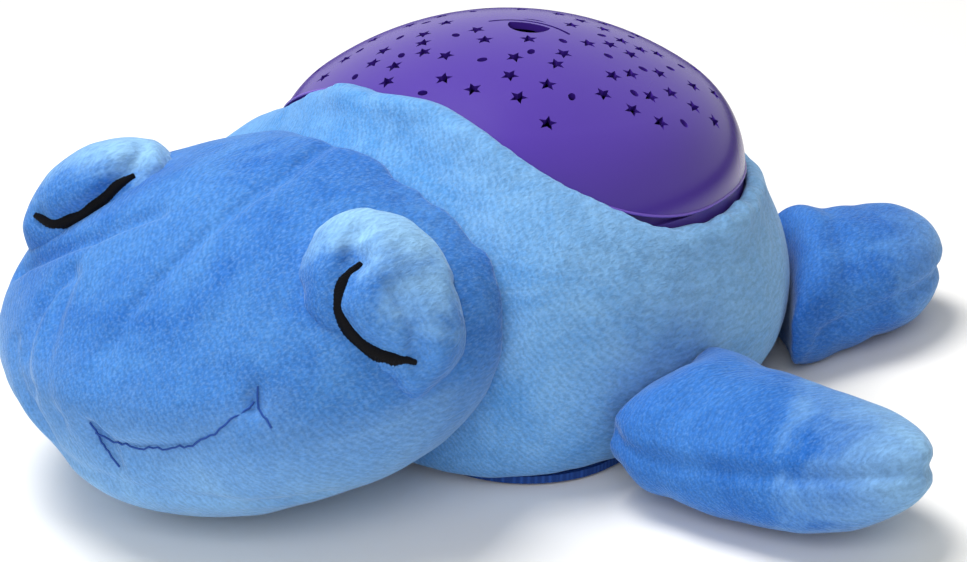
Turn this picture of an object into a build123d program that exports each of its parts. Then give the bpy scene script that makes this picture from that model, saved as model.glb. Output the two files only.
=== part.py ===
# Plush turtle night light: a stuffed turtle whose shell is a pierced star dome.
# Millimetres, +Z up, turtle facing -Y, origin on the floor under the middle of the dome.
import os
from math import asin, atan2, cos, degrees, pi, radians, sin, sqrt

from build123d import *

os.makedirs("parts", exist_ok=True)

# Clearances shared by the whole part
cut_overrun = 2.0
soft_gap = 0.4
slide_gap = 0.3
screw_gap = 0.1
seam_gap = 0.8

# Star dome: a shoulder arc and a cap arc turned about Z, with a raised arch in its front rim
dome_radius = 80.0
dome_rise = 50.0
dome_shoulder = 36.0
dome_wall = 2.4
rim_height = 70.0
arch_rise = 34.0
arch_reach = 62.0
arch_start = 7.0
star_size = 6.2
star_waist_share = 0.45
star_points = 5
dot_length = 3.4
dot_width = 2.4

# Planet cut-out beside the top of the dome
planet_size = 14.0
planet_place_share = 0.125
planet_turn = 84.0
planet_roll = -60.5
ring_length = 27.0
ring_bow = 4.0
ring_slit = 1.2
ring_margin = 1.4

# Base bowl, which carries everything and rests on the floor
base_radius = 64.0
foot_height = 4.0
bowl_wall = 2.2
bowl_floor = 2.4
flange_height = 8.0
flange_inset = 0.4
lap_height = 4.0
lap_wall = 2.0

# Posts and screws that hold the dome on the bowl
post_pitch_x = 63.6
post_pitch_y = 87.4
post_diameter = 9.0
post_join = 71.0
dome_screw_diameter = 3.0
dome_screw_length = 22.0
dome_screw_seat = 54.0
dome_screw_head = 5.8
dome_screw_head_height = 2.4
head_recess_gap = 0.4

# Three AA cells side by side and the box that holds them
cell_diameter = 14.5
cell_length = 50.5
cell_nub_diameter = 5.5
cell_nub_length = 1.0
cell_count = 3
cell_gap = 0.5
contact_room = 2.0
contact_thickness = 0.4
contact_width = 9.0
contact_bump = 1.0
contact_bump_diameter = 6.0
solder_tab_length = 5.0
solder_tab_width = 3.0
box_wall = 1.8

# Battery door flush with the underside, two tabs at one end and a screw at the other
door_gap = 0.4
ear_width = 13.0
ear_length = 10.0
tab_width = 8.0
tab_length = 1.4
tab_thickness = 1.2
tab_pitch = 28.0
tab_room = 3.0
door_screw_diameter = 2.6
door_screw_head = 5.5
door_screw_head_height = 1.3
door_screw_grip = 4.0
door_screw_play = 0.7
door_boss_height = 7.0

# Main board on standoffs over the battery box
board_length = 62.0
board_width = 48.0
board_thickness = 1.6
standoff_height = 5.0
standoff_diameter = 5.4
standoff_pitch_x = 52.0
standoff_pitch_y = 37.0
board_screw_diameter = 2.0
board_screw_length = 6.0
board_screw_head = 4.0
board_screw_head_height = 1.5

# Timer chip and capacitor on the main board
chip_length = 5.0
chip_width = 4.0
chip_height = 1.6
chip_lead = 1.1
chip_lead_width = 0.4
chip_lead_pitch = 1.27
chip_lead_count = 4
chip_place_share = 0.5
capacitor_diameter = 6.3
capacitor_height = 11.0
capacitor_edge = 0.6

# Lamp post in the middle of the board, with three coloured lamps on its cap
post_foot_diameter = 20.0
post_foot_height = 1.6
post_tube_diameter = 14.0
post_tube_wall = 1.6
lamp_post_height = 36.0
post_cap_diameter = 18.0
post_cap_height = 2.0
lamp_colours = ("amber", "green", "blue")
lamp_circle = 3.6
lamp_diameter = 5.0
lamp_height = 8.2
lamp_flange_diameter = 5.8
lamp_flange_height = 1.0
lamp_lead_diameter = 0.5
lamp_lead_pitch = 2.54
lamp_lead_play = 0.2

# Four push buttons in a row at the tail end of the dome
button_height = 15.0
button_tilt = 25.0
button_pitch = 15.0
button_count = 4
halvings = 40
button_diameter = 9.0
button_stand = 1.8
button_edge = 1.0
button_flange = 11.4
button_flange_height = 1.2
button_flange_drop_share = 1.25
button_travel = 1.0
switch_size = 6.0
switch_body = 3.4
switch_plunger_diameter = 3.4
switch_plunger = 0.9
button_board_width = 13.0
button_board_ends = 12.5
button_boss_diameter = 5.4
button_boss_setback = 3.5
button_screw_diameter = 2.0
button_screw_length = 6.0
button_screw_head = 3.8
button_screw_head_height = 1.4

# Insulated leads
lead_diameter = 1.4
lead_bend = 3.0
lead_rise = 6.0
lead_reach = 5.0
lead_landing = 3.0
button_lead_diameter = 2.2
button_lead_bend = 10.0
button_lead_run = 12.0
button_lead_drop = 22.0
button_lead_landing_share = 0.78

# Plush body: sections from chest to tail, as shares of its length, half width and height
skin = 1.6
body_chest = 16.0
body_seat = 13.0
body_side = 18.0
collar_rise = 35.0
body_front = dome_radius + body_chest
body_rear = dome_radius + body_seat
body_width = 2 * (dome_radius + body_side)
body_height = rim_height + collar_rise
belly_low = 0.6
belly_thickness = 2.4
body_tuck_share = 0.33
body_round_share = 0.9
body_mid_share = 0.265
body_shares = (
    (0.0, 0.50, 0.03, 0.60),
    (0.042, 0.75, 0.0, 0.84),
    (0.116, 0.90, 0.0, 0.945),
    (0.217, 0.98, 0.0, 1.0),
    (0.36, 1.0, 0.0, 0.925),
    (0.534, 0.97, 0.0, 0.84),
    (0.709, 0.885, 0.0, 0.81),
    (0.847, 0.725, 0.0, 0.762),
    (0.942, 0.51, 0.0, 0.667),
    (0.979, 0.37, 0.02, 0.58),
    (1.0, 0.20, 0.08, 0.45),
)
belly_rear_share = 0.94
belly_shoulder_x_share = 0.53
belly_shoulder_y_share = 0.52
belly_shoulder_radius_share = 0.35

# Head: sections from neck to nose, as shares of its length, half width and height
head_sink = 34.0
head_back = body_front - head_sink
head_length = 131.0
head_width = 160.0
head_height = 98.0
head_low = 0.5
head_round_share = 0.72
head_shares = (
    (0.0, 0.75, 0.20, 0.56, 0.92),
    (0.137, 0.925, 0.06, 0.53, 0.99),
    (0.328, 1.0, 0.0, 0.51, 1.0),
    (0.519, 1.0, 0.0, 0.48, 0.96),
    (0.687, 0.91, 0.015, 0.44, 0.868),
    (0.84, 0.715, 0.06, 0.39, 0.735),
    (0.947, 0.465, 0.14, 0.357, 0.59),
    (1.0, 0.19, 0.255, 0.357, 0.46),
)

# Eye mounds: pillows on the head, built along their own outward axis; the face leans to the left
left_mound_x = 60.0
left_mound_z = 67.0
left_mound_setback = 59.0
right_mound_x = 56.0
right_mound_z = 73.5
right_mound_setback = 68.0
mound_tilt = 38.0
mound_length = 60.0
mound_breadth = 66.0
mound_depth = 26.0
mound_stand = 19.0
mound_round_share = 0.85
mound_shares = (
    (0.0, 0.80),
    (0.30, 0.96),
    (0.52, 1.0),
    (0.76, 0.88),
    (0.92, 0.62),
    (1.0, 0.30),
)
stitch_raise = 0.8
stitch_width = 4.2
stitch_top_shares = (0.44, -0.47)
stitch_middle_shares = (0.81, -0.12)
stitch_outer_shares = (0.38, 0.54)

# Flippers: sections from sewn root to tip, along, aside, turn, half width and half thickness
flipper_round_share = 0.8
flipper_low = 0.6
front_root_sink = 6.0
front_root_x = body_width / 2 - front_root_sink
front_root_y = -38.0
front_heading = 0.0
front_reach = 96.0
front_width = 62.0
front_thickness = 38.0
front_root_lift = 27.0
front_shares = (
    (0.0, 0.0, 0.0, 0.70, 0.18),
    (0.06, 0.0, 0.0, 0.72, 0.19),
    (0.14, 0.0, 0.0, 0.82, 0.42),
    (0.30, -0.01, -3.0, 0.96, 0.86),
    (0.52, -0.01, 2.0, 1.0, 1.0),
    (0.76, 0.03, 12.0, 0.90, 0.88),
    (0.91, 0.08, 20.0, 0.64, 0.60),
    (0.98, 0.11, 24.0, 0.36, 0.34),
    (1.0, 0.12, 24.0, 0.18, 0.18),
)
rear_root_aside = 33.5
rear_root_ahead = 35.0
rear_root_x = body_width / 2 - rear_root_aside
rear_root_y = body_rear - rear_root_ahead
rear_heading = 44.0
rear_reach = 79.0
rear_width = 52.0
rear_thickness = 37.0
rear_root_lift = 27.0
rear_shares = (
    (0.0, 0.0, 0.0, 0.72, 0.18),
    (0.08, 0.01, 3.0, 0.76, 0.19),
    (0.19, 0.06, 14.0, 0.88, 0.42),
    (0.36, 0.17, 34.0, 0.98, 0.86),
    (0.52, 0.33, 48.0, 1.0, 1.0),
    (0.65, 0.50, 53.0, 0.90, 0.92),
    (0.73, 0.63, 55.0, 0.66, 0.66),
    (0.765, 0.69, 55.0, 0.40, 0.40),
    (0.78, 0.715, 55.0, 0.22, 0.22),
)

# Places of the dome's cut-outs, chosen by hand: turn from the front and share of the dome's radius
star_shares = (
    (53, 0.76), (45, 0.635), (57, 0.575), (76, 0.66), (93, 0.725), (82, 0.755), (88, 0.83), (103, 0.745),
    (106, 0.83), (110, 0.90), (87, 0.585), (96, 0.605), (110, 0.66), (112, 0.53), (112, 0.44), (124, 0.55),
    (129, 0.62), (125, 0.47), (75, 0.40), (66, 0.46), (45, 0.395), (42, 0.515), (28, 0.60), (14, 0.56),
    (352, 0.64), (346, 0.56), (333, 0.595), (5, 0.425), (350, 0.44), (339, 0.395), (326, 0.53), (325, 0.36),
    (308, 0.26), (358, 0.19), (20, 0.265), (60, 0.255), (100, 0.38), (128, 0.26), (150, 0.32), (318, 0.77),
    (312, 0.68), (303, 0.82), (300, 0.58), (292, 0.44), (284, 0.70), (278, 0.34), (270, 0.56), (262, 0.80),
    (256, 0.45), (248, 0.66), (240, 0.30), (236, 0.54), (230, 0.76), (224, 0.42), (214, 0.56), (208, 0.22),
    (206, 0.50), (202, 0.74), (196, 0.36), (190, 0.60), (180, 0.47), (178, 0.70), (170, 0.27), (168, 0.58),
    (160, 0.72), (156, 0.44), (150, 0.57), (140, 0.80), (138, 0.40), (126, 0.86), (118, 0.78), (290, 0.87),
    (246, 0.88),
)
dot_shares = (
    (64, 0.65), (88, 0.69), (96, 0.86), (105, 0.61), (98, 0.485), (122, 0.39), (56, 0.36), (27, 0.42),
    (10, 0.65), (335, 0.68), (341, 0.50), (350, 0.275), (86, 0.315), (120, 0.68), (295, 0.36), (280, 0.60),
    (266, 0.68), (252, 0.56), (232, 0.64), (222, 0.80), (212, 0.76), (196, 0.50), (184, 0.36), (174, 0.62),
    (162, 0.50), (152, 0.70), (140, 0.52), (316, 0.45), (310, 0.62), (260, 0.24), (228, 0.36), (130, 0.72),
)


def centre_oval(plane, half_width, rise, drop, round_share):
    """Closed outline of tangent arcs, widest on its own middle line."""
    with BuildSketch(plane) as outline:
        with BuildLine():
            for height, side in ((rise, 1), (drop, -1)):
                if half_width > height:
                    corner = round_share * height
                    flat = ((half_width - corner) ** 2 + height**2 - corner**2) / (2 * (height - corner))
                    turn = degrees(atan2(flat - height, half_width - corner))
                else:
                    flat = round_share * half_width
                    corner = ((height - flat) ** 2 + half_width**2 - flat**2) / (2 * (half_width - flat))
                    turn = degrees(atan2(height - flat, corner - half_width))
                middle = side * (height - flat)
                CenterArc((half_width - corner, 0), corner, 0, side * turn)
                CenterArc((0, middle), flat, side * turn, side * (180 - 2 * turn))
                CenterArc((corner - half_width, 0), corner, 180, -side * turn)
        make_face()
    return outline.sketch


def flat_oval(plane, half_width, rise, drop, round_share, tuck_share):
    """Like centre_oval above its middle line, with drawn-in sides and a flat base below it."""
    with BuildSketch(plane) as outline:
        with BuildLine():
            if half_width > rise:
                corner = round_share * rise
                flat = ((half_width - corner) ** 2 + rise**2 - corner**2) / (2 * (rise - corner))
                turn = degrees(atan2(flat - rise, half_width - corner))
            else:
                flat = round_share * half_width
                corner = ((rise - flat) ** 2 + half_width**2 - flat**2) / (2 * (half_width - flat))
                turn = degrees(atan2(rise - flat, corner - half_width))
            tuck = tuck_share * min(drop, half_width)
            side = (tuck**2 + drop**2) / (2 * tuck)
            fall = degrees(asin(drop / side))
            CenterArc((half_width - corner, 0), corner, 0, turn)
            CenterArc((0, rise - flat), flat, turn, 180 - 2 * turn)
            CenterArc((corner - half_width, 0), corner, 180, -turn)
            CenterArc((side - half_width, 0), side, 180, fall)
            Line((tuck - half_width, -drop), (half_width - tuck, -drop))
            CenterArc((half_width - side, 0), side, 0, -fall)
        make_face()
    return outline.sketch


def cross_plane(ahead, height):
    """Upright plane across the turtle, at a distance ahead of the origin and a height."""
    return Plane(origin=(0, -ahead, height), x_dir=(1, 0, 0), z_dir=(0, -1, 0))


def body_form(inset):
    """Whole plush body as a loft from chest to tail, drawn in all round by an inset."""
    low = belly_low + belly_thickness
    tall = body_height - low
    length = body_front + body_rear - 2 * inset
    mid = low + body_mid_share * tall
    sections = []
    for place, width, floor, top in body_shares:
        station = cross_plane(body_front - inset - place * length, mid)
        half_width = width * body_width / 2 - inset
        rise = low + top * tall - mid - inset
        drop = mid - low - floor * tall - inset
        sections.append(flat_oval(station, half_width, rise, drop, body_round_share, body_tuck_share))
    with BuildPart() as form:
        loft(sections)
        split(bisect_by=Plane.XY.offset(low + inset), keep=Keep.TOP)
    return form.part


def head_form(inset):
    """Head as a loft from neck to nose, drawn in all round by an inset."""
    length = head_length - 2 * inset
    sections = []
    for place, width, floor, middle, top in head_shares:
        station = cross_plane(head_back + inset + place * length, head_low + middle * head_height)
        half_width = width * head_width / 2 - inset
        rise = (top - middle) * head_height - inset
        drop = (middle - floor) * head_height - inset
        sections.append(centre_oval(station, half_width, rise, drop, head_round_share))
    with BuildPart() as form:
        loft(sections)
    return form.part


def mound_plane(x, setback, z):
    """Frame of an eye mound on the left: x runs to the nose, y down the cheek, z outward."""
    outward = (cos(radians(mound_tilt)), 0, sin(radians(mound_tilt)))
    return Plane(origin=(x, -head_back - setback, z), x_dir=(0, -1, 0), z_dir=outward)


def mound_form(base, grow):
    """Eye mound as a loft along the z axis of its frame, grown all round."""
    sections = []
    for place, width in mound_shares:
        station = base.offset(place * (mound_depth + mound_stand + grow) - mound_depth)
        half_length = width * mound_length / 2 + grow
        half_breadth = width * mound_breadth / 2 + grow
        sections.append(centre_oval(station, half_length, half_breadth, half_breadth, mound_round_share))
    with BuildPart() as form:
        loft(sections)
    return form.part


def flipper_form(shares, root, heading, reach, width, thickness, root_lift, inset):
    """Left flipper as a loft along a bent line that sinks from its sewn root to the floor."""
    start = Vector(*root)
    along = Vector(cos(radians(heading)), sin(radians(heading)), 0)
    aside = Vector(-along.Y, along.X, 0)
    rest = flipper_low + thickness / 2
    sections = []
    for place, shift, turn, breadth, depth in shares:
        spot = start + along * (inset + place * (reach - 2 * inset)) + aside * (shift * reach)
        lift = rest + (root_lift - rest) * (1 - depth)
        facing = radians(heading + turn)
        station = Plane(
            origin=(spot.X, spot.Y, lift),
            x_dir=(-sin(facing), cos(facing), 0),
            z_dir=(cos(facing), sin(facing), 0),
        )
        half = depth * thickness / 2 - inset
        sections.append(centre_oval(station, breadth * width / 2 - inset, half, half, flipper_round_share))
    with BuildPart() as form:
        loft(sections)
    return form.part


# Centres of the dome's two arcs, and the turn where they meet
shoulder_middle = dome_radius - dome_shoulder
cap_span = shoulder_middle**2 + dome_rise**2 - dome_shoulder**2
cap_radius = cap_span / (2 * (dome_rise - dome_shoulder))
cap_middle = rim_height + dome_rise - cap_radius
shoulder_turn = degrees(atan2(rim_height - cap_middle, shoulder_middle))
cap_reach = cap_radius * cos(radians(shoulder_turn))


def dome_profile(inset):
    """Dome's outline from rim to top, inside its outer face by an inset."""
    CenterArc((shoulder_middle, rim_height), dome_shoulder - inset, 0, shoulder_turn)
    CenterArc((0, cap_middle), cap_radius - inset, shoulder_turn, 90 - shoulder_turn)


def dome_form(inset):
    """Solid dome inside its outer face by an inset."""
    with BuildPart() as form:
        with BuildSketch(Plane.XZ):
            with BuildLine():
                dome_profile(inset)
                Line((0, rim_height + dome_rise - inset), (0, rim_height))
                Line((0, rim_height), (dome_radius - inset, rim_height))
            make_face()
        revolve(axis=Axis.Z)
    return form.part


def arch_line(lift):
    """Arch of the dome's front rim seen from the side, raised by a lift."""
    centre = (arch_start, rim_height + arch_rise + lift)
    EllipticalCenterArc(centre, arch_reach, arch_rise, 180, arc_size=90)
    return arch_start - arch_reach, rim_height + arch_rise + lift


def dome_plane(turn, share):
    """Plane touching the dome's outer face at a turn from the front and a share of its radius."""
    reach = dome_radius * share
    if reach < cap_reach:
        lean = asin(reach / cap_radius)
        height = cap_middle + cap_radius * cos(lean)
    else:
        lean = asin((reach - shoulder_middle) / dome_shoulder)
        height = rim_height + dome_shoulder * cos(lean)
    outward = Vector(sin(radians(turn)), -cos(radians(turn)), 0)
    spot = outward * reach + Vector(0, 0, height)
    normal = outward * sin(lean) + Vector(0, 0, cos(lean))
    return Plane(origin=spot, x_dir=(cos(radians(turn)), sin(radians(turn)), 0), z_dir=normal)


# Frame of the button row: z points out of the dome at its tail end
button_y = shoulder_middle + sqrt(dome_shoulder**2 - button_height**2)
button_frame = Plane(
    origin=(0, button_y, rim_height + button_height),
    x_dir=(1, 0, 0),
    z_dir=(0, cos(radians(button_tilt)), sin(radians(button_tilt))),
)
button_places = [(n - (button_count - 1) / 2) * button_pitch for n in range(button_count)]


def dome_depth(side):
    """Distance along the button axis from the frame to the dome's outer face, at a place in the row."""
    near = -dome_shoulder
    far = 0
    for _ in range(halvings):
        depth = (near + far) / 2
        span = sqrt(side**2 + (button_y + depth * cos(radians(button_tilt))) ** 2)
        height = button_height + depth * sin(radians(button_tilt))
        if (span - shoulder_middle) ** 2 + height**2 > dome_shoulder**2:
            far = depth
        else:
            near = depth
    return (near + far) / 2


row_end = max(button_places)
flange_front = dome_depth(row_end + button_flange / 2) - button_flange_drop_share * dome_wall
flange_back = flange_front - button_flange_height
plunger_top = flange_back - button_travel - slide_gap
button_board_front = plunger_top - switch_plunger - switch_body
button_board_length = 2 * (row_end + button_board_ends)
button_boss_place = row_end + button_board_ends - button_boss_setback

# Heights and places that the inside pieces share
cell_axis = bowl_floor + cell_gap + cell_diameter / 2
box_length = cell_length + cell_nub_length + 2 * contact_room
box_width = cell_count * cell_diameter + (cell_count + 1) * cell_gap
box_top = cell_axis + cell_diameter / 2 + cell_gap
box_roof = box_top + box_wall
board_low = box_roof + standoff_height
board_top = board_low + board_thickness
lap_inset = dome_wall + slide_gap
lap_inner = dome_radius - lap_inset - lap_wall
ear_middle = box_width / 2 + ear_length / 2
ear_screw_y = ear_middle - door_gap

# Solids that several pieces are cut by
body_outer = body_form(0)
body_inner = body_form(skin)
body_clear = body_form(-seam_gap)
head_outer = head_form(0)
head_inner = head_form(skin)
dome_outside = dome_form(0)
dome_inside = dome_form(dome_wall)
dome_middle = dome_form(dome_wall / 2)

# Pocket in the plush for the dome and the bowl
with BuildPart() as pocket:
    with BuildSketch(Plane.XZ):
        with BuildLine():
            Polyline(
                (0, rim_height),
                (0, -cut_overrun),
                (base_radius + soft_gap, -cut_overrun),
                (base_radius + soft_gap, foot_height),
                (dome_radius + soft_gap, rim_height - flange_height),
                (dome_radius + soft_gap, rim_height),
            )
            dome_profile(-soft_gap)
            Line((0, rim_height + dome_rise + soft_gap), (0, rim_height))
        make_face()
    revolve(axis=Axis.Z)

# Star dome
with BuildPart() as star_dome:
    add(dome_outside)
    add(dome_inside, mode=Mode.SUBTRACT)
    with BuildSketch(Plane.YZ):
        with BuildLine():
            end, height = arch_line(0)
            Polyline(
                (end, height),
                (-dome_radius - cut_overrun, height),
                (-dome_radius - cut_overrun, rim_height - cut_overrun),
                (arch_start, rim_height - cut_overrun),
                (arch_start, rim_height),
            )
        make_face()
    extrude(amount=dome_radius + cut_overrun, both=True, mode=Mode.SUBTRACT)
    # Planet: a disc parted by the slit of its ring
    planet_plane = dome_plane(planet_turn, planet_place_share).rotated((0, 0, planet_roll))
    with BuildSketch(planet_plane):
        Circle(planet_size / 2)
        with BuildSketch(mode=Mode.PRIVATE) as ring_path:
            with BuildLine():
                ThreePointArc((-ring_length / 2, 0), (0, ring_bow), (ring_length / 2, 0))
                offset(amount=ring_slit / 2 + ring_margin, side=Side.BOTH)
            make_face()
        add(ring_path.sketch, mode=Mode.SUBTRACT)
    with BuildSketch(planet_plane):
        with BuildLine():
            ThreePointArc((-ring_length / 2, 0), (0, ring_bow), (ring_length / 2, 0))
            offset(amount=ring_slit / 2, side=Side.BOTH)
        make_face()
    extrude(amount=2 * dome_wall, both=True, mode=Mode.SUBTRACT)
    # Button holes
    with BuildSketch(button_frame):
        with Locations(*[(place, 0) for place in button_places]):
            Circle(button_diameter / 2 + slide_gap)
    extrude(amount=2 * dome_wall - flange_front, both=True, mode=Mode.SUBTRACT)
    # Posts for the dome screws and bosses for the button board, grown from the inner face
    with BuildSketch(Plane.XY.offset(post_join)):
        with GridLocations(post_pitch_x, post_pitch_y, 2, 2):
            Circle(post_diameter / 2 - slide_gap)
    posts = extrude(amount=dome_rise + cut_overrun, mode=Mode.PRIVATE)
    with BuildSketch(button_frame.offset(button_board_front)):
        with Locations((-button_boss_place, 0), (button_boss_place, 0)):
            Circle(button_boss_diameter / 2)
    bosses = extrude(amount=-button_board_front, mode=Mode.PRIVATE)
    add(posts & dome_middle)
    add(bosses & dome_middle)
    with BuildSketch(Plane.XY.offset(post_join)):
        with GridLocations(post_pitch_x, post_pitch_y, 2, 2):
            Circle(dome_screw_diameter / 2 + screw_gap)
    extrude(amount=dome_screw_seat + dome_screw_length + cut_overrun - post_join, mode=Mode.SUBTRACT)
    with BuildSketch(button_frame.offset(button_board_front)):
        with Locations((-button_boss_place, 0), (button_boss_place, 0)):
            Circle(button_screw_diameter / 2 + screw_gap)
    extrude(amount=button_screw_length - board_thickness + screw_gap, mode=Mode.SUBTRACT)
    # Stars and dots
    for turn, share in star_shares:
        with BuildSketch(dome_plane(turn, share).offset(dome_wall)):
            with BuildLine():
                corners = []
                for point in range(2 * star_points):
                    reach = star_size / 2 * (star_waist_share if point % 2 else 1)
                    angle = radians(turn + 90) + pi * point / star_points
                    corners.append((reach * cos(angle), reach * sin(angle)))
                Polyline(*corners, close=True)
            make_face()
    for turn, share in dot_shares:
        with BuildSketch(dome_plane(turn, share).offset(dome_wall)):
            Ellipse(dot_length / 2, dot_width / 2, rotation=turn)
    extrude(amount=-3 * dome_wall, clean=False, mode=Mode.SUBTRACT)
star_dome.part.label = "star_dome"
export_step(star_dome.part, "parts/star_dome.step")

# Base bowl: floor, flared wall, flange under the dome's rim and a lap that follows the arch inside it
with BuildPart() as base_bowl:
    with BuildSketch(Plane.XZ):
        with BuildLine():
            Polyline(
                (0, rim_height + dome_rise - lap_inset),
                (0, 0),
                (base_radius, 0),
                (base_radius, foot_height),
                (dome_radius - flange_inset, rim_height - flange_height),
                (dome_radius - flange_inset, rim_height),
                (dome_radius - lap_inset, rim_height),
            )
            dome_profile(lap_inset)
        make_face()
    revolve(axis=Axis.Z)
    with BuildSketch(Plane.XZ):
        with BuildLine():
            Polyline(
                (0, rim_height + dome_rise - lap_inset - lap_wall),
                (0, bowl_floor),
                (base_radius - bowl_wall, bowl_floor),
                (lap_inner, rim_height - flange_height),
                (lap_inner, rim_height),
            )
            dome_profile(lap_inset + lap_wall)
        make_face()
    revolve(axis=Axis.Z, mode=Mode.SUBTRACT)
    with BuildSketch(Plane.YZ):
        with BuildLine():
            end, height = arch_line(lap_height)
            Polyline(
                (end, height),
                (-dome_radius - cut_overrun, height),
                (-dome_radius - cut_overrun, rim_height + dome_rise + cut_overrun),
                (dome_radius + cut_overrun, rim_height + dome_rise + cut_overrun),
                (dome_radius + cut_overrun, rim_height + lap_height),
                (arch_start, rim_height + lap_height),
            )
        make_face()
    extrude(amount=dome_radius + cut_overrun, both=True, mode=Mode.SUBTRACT)
    # Battery box, open below
    with BuildSketch(Plane.XY.offset(bowl_floor)):
        Rectangle(box_length + 2 * box_wall, box_width + 2 * box_wall)
    extrude(amount=box_roof - bowl_floor)
    # Screw boss over the door's ear
    with BuildSketch(Plane.XY.offset(bowl_floor)):
        with Locations((0, ear_middle)):
            Rectangle(ear_width + 2 * box_wall, ear_length + 2 * box_wall)
    extrude(amount=door_boss_height)
    # Standoffs and dome posts
    with BuildSketch(Plane.XY.offset(box_roof)):
        with GridLocations(standoff_pitch_x, standoff_pitch_y, 2, 2):
            Circle(standoff_diameter / 2)
    extrude(amount=standoff_height)
    with BuildSketch(Plane.XY):
        with GridLocations(post_pitch_x, post_pitch_y, 2, 2):
            Circle(post_diameter / 2)
    extrude(amount=post_join)
    # Room for the cells, the door and its ear and tabs
    with BuildSketch(Plane.XY):
        Rectangle(box_length, box_width)
    extrude(amount=box_top, mode=Mode.SUBTRACT)
    with BuildSketch(Plane.XY):
        with Locations((0, ear_middle)):
            Rectangle(ear_width, ear_length)
    extrude(amount=bowl_floor, mode=Mode.SUBTRACT)
    with BuildSketch(Plane.XY.offset(bowl_floor)):
        with Locations((-tab_pitch / 2, -box_width / 2), (tab_pitch / 2, -box_width / 2)):
            Rectangle(tab_width + 2 * door_gap, 2 * (tab_length + door_gap))
    extrude(amount=tab_room, mode=Mode.SUBTRACT)
    # Screw holes
    with BuildSketch(Plane.XY):
        with Locations((0, ear_screw_y)):
            Circle(door_screw_diameter / 2 + door_screw_play)
    extrude(amount=bowl_floor + door_screw_grip + door_screw_play, mode=Mode.SUBTRACT)
    with BuildSketch(Plane.XY.offset(board_low)):
        with GridLocations(standoff_pitch_x, standoff_pitch_y, 2, 2):
            Circle(board_screw_diameter / 2 + screw_gap)
    extrude(amount=-(board_screw_length - board_thickness + screw_gap), mode=Mode.SUBTRACT)
    with BuildSketch(Plane.XY):
        with GridLocations(post_pitch_x, post_pitch_y, 2, 2):
            Circle(dome_screw_head / 2 + head_recess_gap)
    extrude(amount=dome_screw_seat, mode=Mode.SUBTRACT)
    with BuildSketch(Plane.XY):
        with GridLocations(post_pitch_x, post_pitch_y, 2, 2):
            Circle(dome_screw_diameter / 2 + screw_gap)
    extrude(amount=post_join, mode=Mode.SUBTRACT)
    # Slots for the two solder tabs
    with BuildSketch(Plane.YZ.offset(box_length / 2 - cut_overrun)):
        with Locations((-cell_diameter - cell_gap, cell_axis), (cell_diameter + cell_gap, cell_axis)):
            Rectangle(solder_tab_width + 2 * screw_gap, contact_thickness + 2 * screw_gap)
    extrude(amount=2 * cut_overrun + box_wall, mode=Mode.SUBTRACT)
base_bowl.part.label = "base_bowl"
export_step(base_bowl.part, "parts/base_bowl.step")

# Dome screws, driven up from the underside
with BuildPart() as dome_screws:
    with BuildSketch(Plane.XY.offset(dome_screw_seat)):
        with GridLocations(post_pitch_x, post_pitch_y, 2, 2):
            Circle(dome_screw_head / 2)
    extrude(amount=-dome_screw_head_height)
    with BuildSketch(Plane.XY.offset(dome_screw_seat)):
        with GridLocations(post_pitch_x, post_pitch_y, 2, 2):
            Circle(dome_screw_diameter / 2)
    extrude(amount=dome_screw_length)
dome_screws.part.label = "dome_screws"
export_step(dome_screws.part, "parts/dome_screws.step")

# Battery door with its ear and tabs
door_length = box_width - 2 * door_gap
with BuildPart() as battery_door:
    with BuildSketch(Plane.XY):
        Rectangle(box_length - 2 * door_gap, door_length)
        with Locations((0, ear_middle - door_gap)):
            Rectangle(ear_width - 2 * door_gap, ear_length)
    extrude(amount=bowl_floor)
    door_edge = door_gap - box_width / 2
    with BuildSketch(Plane.XY.offset(bowl_floor)):
        with Locations((-tab_pitch / 2, door_edge), (tab_pitch / 2, door_edge)):
            Rectangle(tab_width, 2 * tab_length)
    extrude(amount=tab_thickness)
    with BuildSketch(Plane.XY):
        with Locations((0, ear_screw_y)):
            Circle(door_screw_diameter / 2 + screw_gap)
    extrude(amount=bowl_floor, mode=Mode.SUBTRACT)
    with BuildSketch(Plane.XY):
        with Locations((0, ear_screw_y)):
            Circle(door_screw_head / 2 + screw_gap)
    extrude(amount=door_screw_head_height, mode=Mode.SUBTRACT)
battery_door.part.label = "battery_door"
export_step(battery_door.part, "parts/battery_door.step")

with BuildPart() as battery_door_screw:
    with BuildSketch(Plane.XY):
        with Locations((0, ear_screw_y)):
            Circle(door_screw_head / 2)
    extrude(amount=door_screw_head_height)
    with BuildSketch(Plane.XY):
        with Locations((0, ear_screw_y)):
            Circle(door_screw_diameter / 2)
    extrude(amount=bowl_floor + door_screw_grip)
battery_door_screw.part.label = "battery_door_screw"
export_step(battery_door_screw.part, "parts/battery_door_screw.step")

# Cells lie along X, the outer two facing one way and the middle one the other
cell_places = [(n - (cell_count - 1) / 2) * (cell_diameter + cell_gap) for n in range(cell_count)]
with BuildPart() as battery_cells:
    for number, place in enumerate(cell_places):
        facing = 1 if number % 2 == 0 else -1
        back = Plane(
            origin=(-facing * (cell_length + cell_nub_length) / 2, place, cell_axis),
            x_dir=(0, 1, 0),
            z_dir=(facing, 0, 0),
        )
        with BuildSketch(back):
            Circle(cell_diameter / 2)
        extrude(amount=cell_length)
        with BuildSketch(back.offset(cell_length)):
            Circle(cell_nub_diameter / 2)
        extrude(amount=cell_nub_length)
battery_cells.part.label = "battery_cells"
export_step(battery_cells.part, "parts/battery_cells.step")

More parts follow.
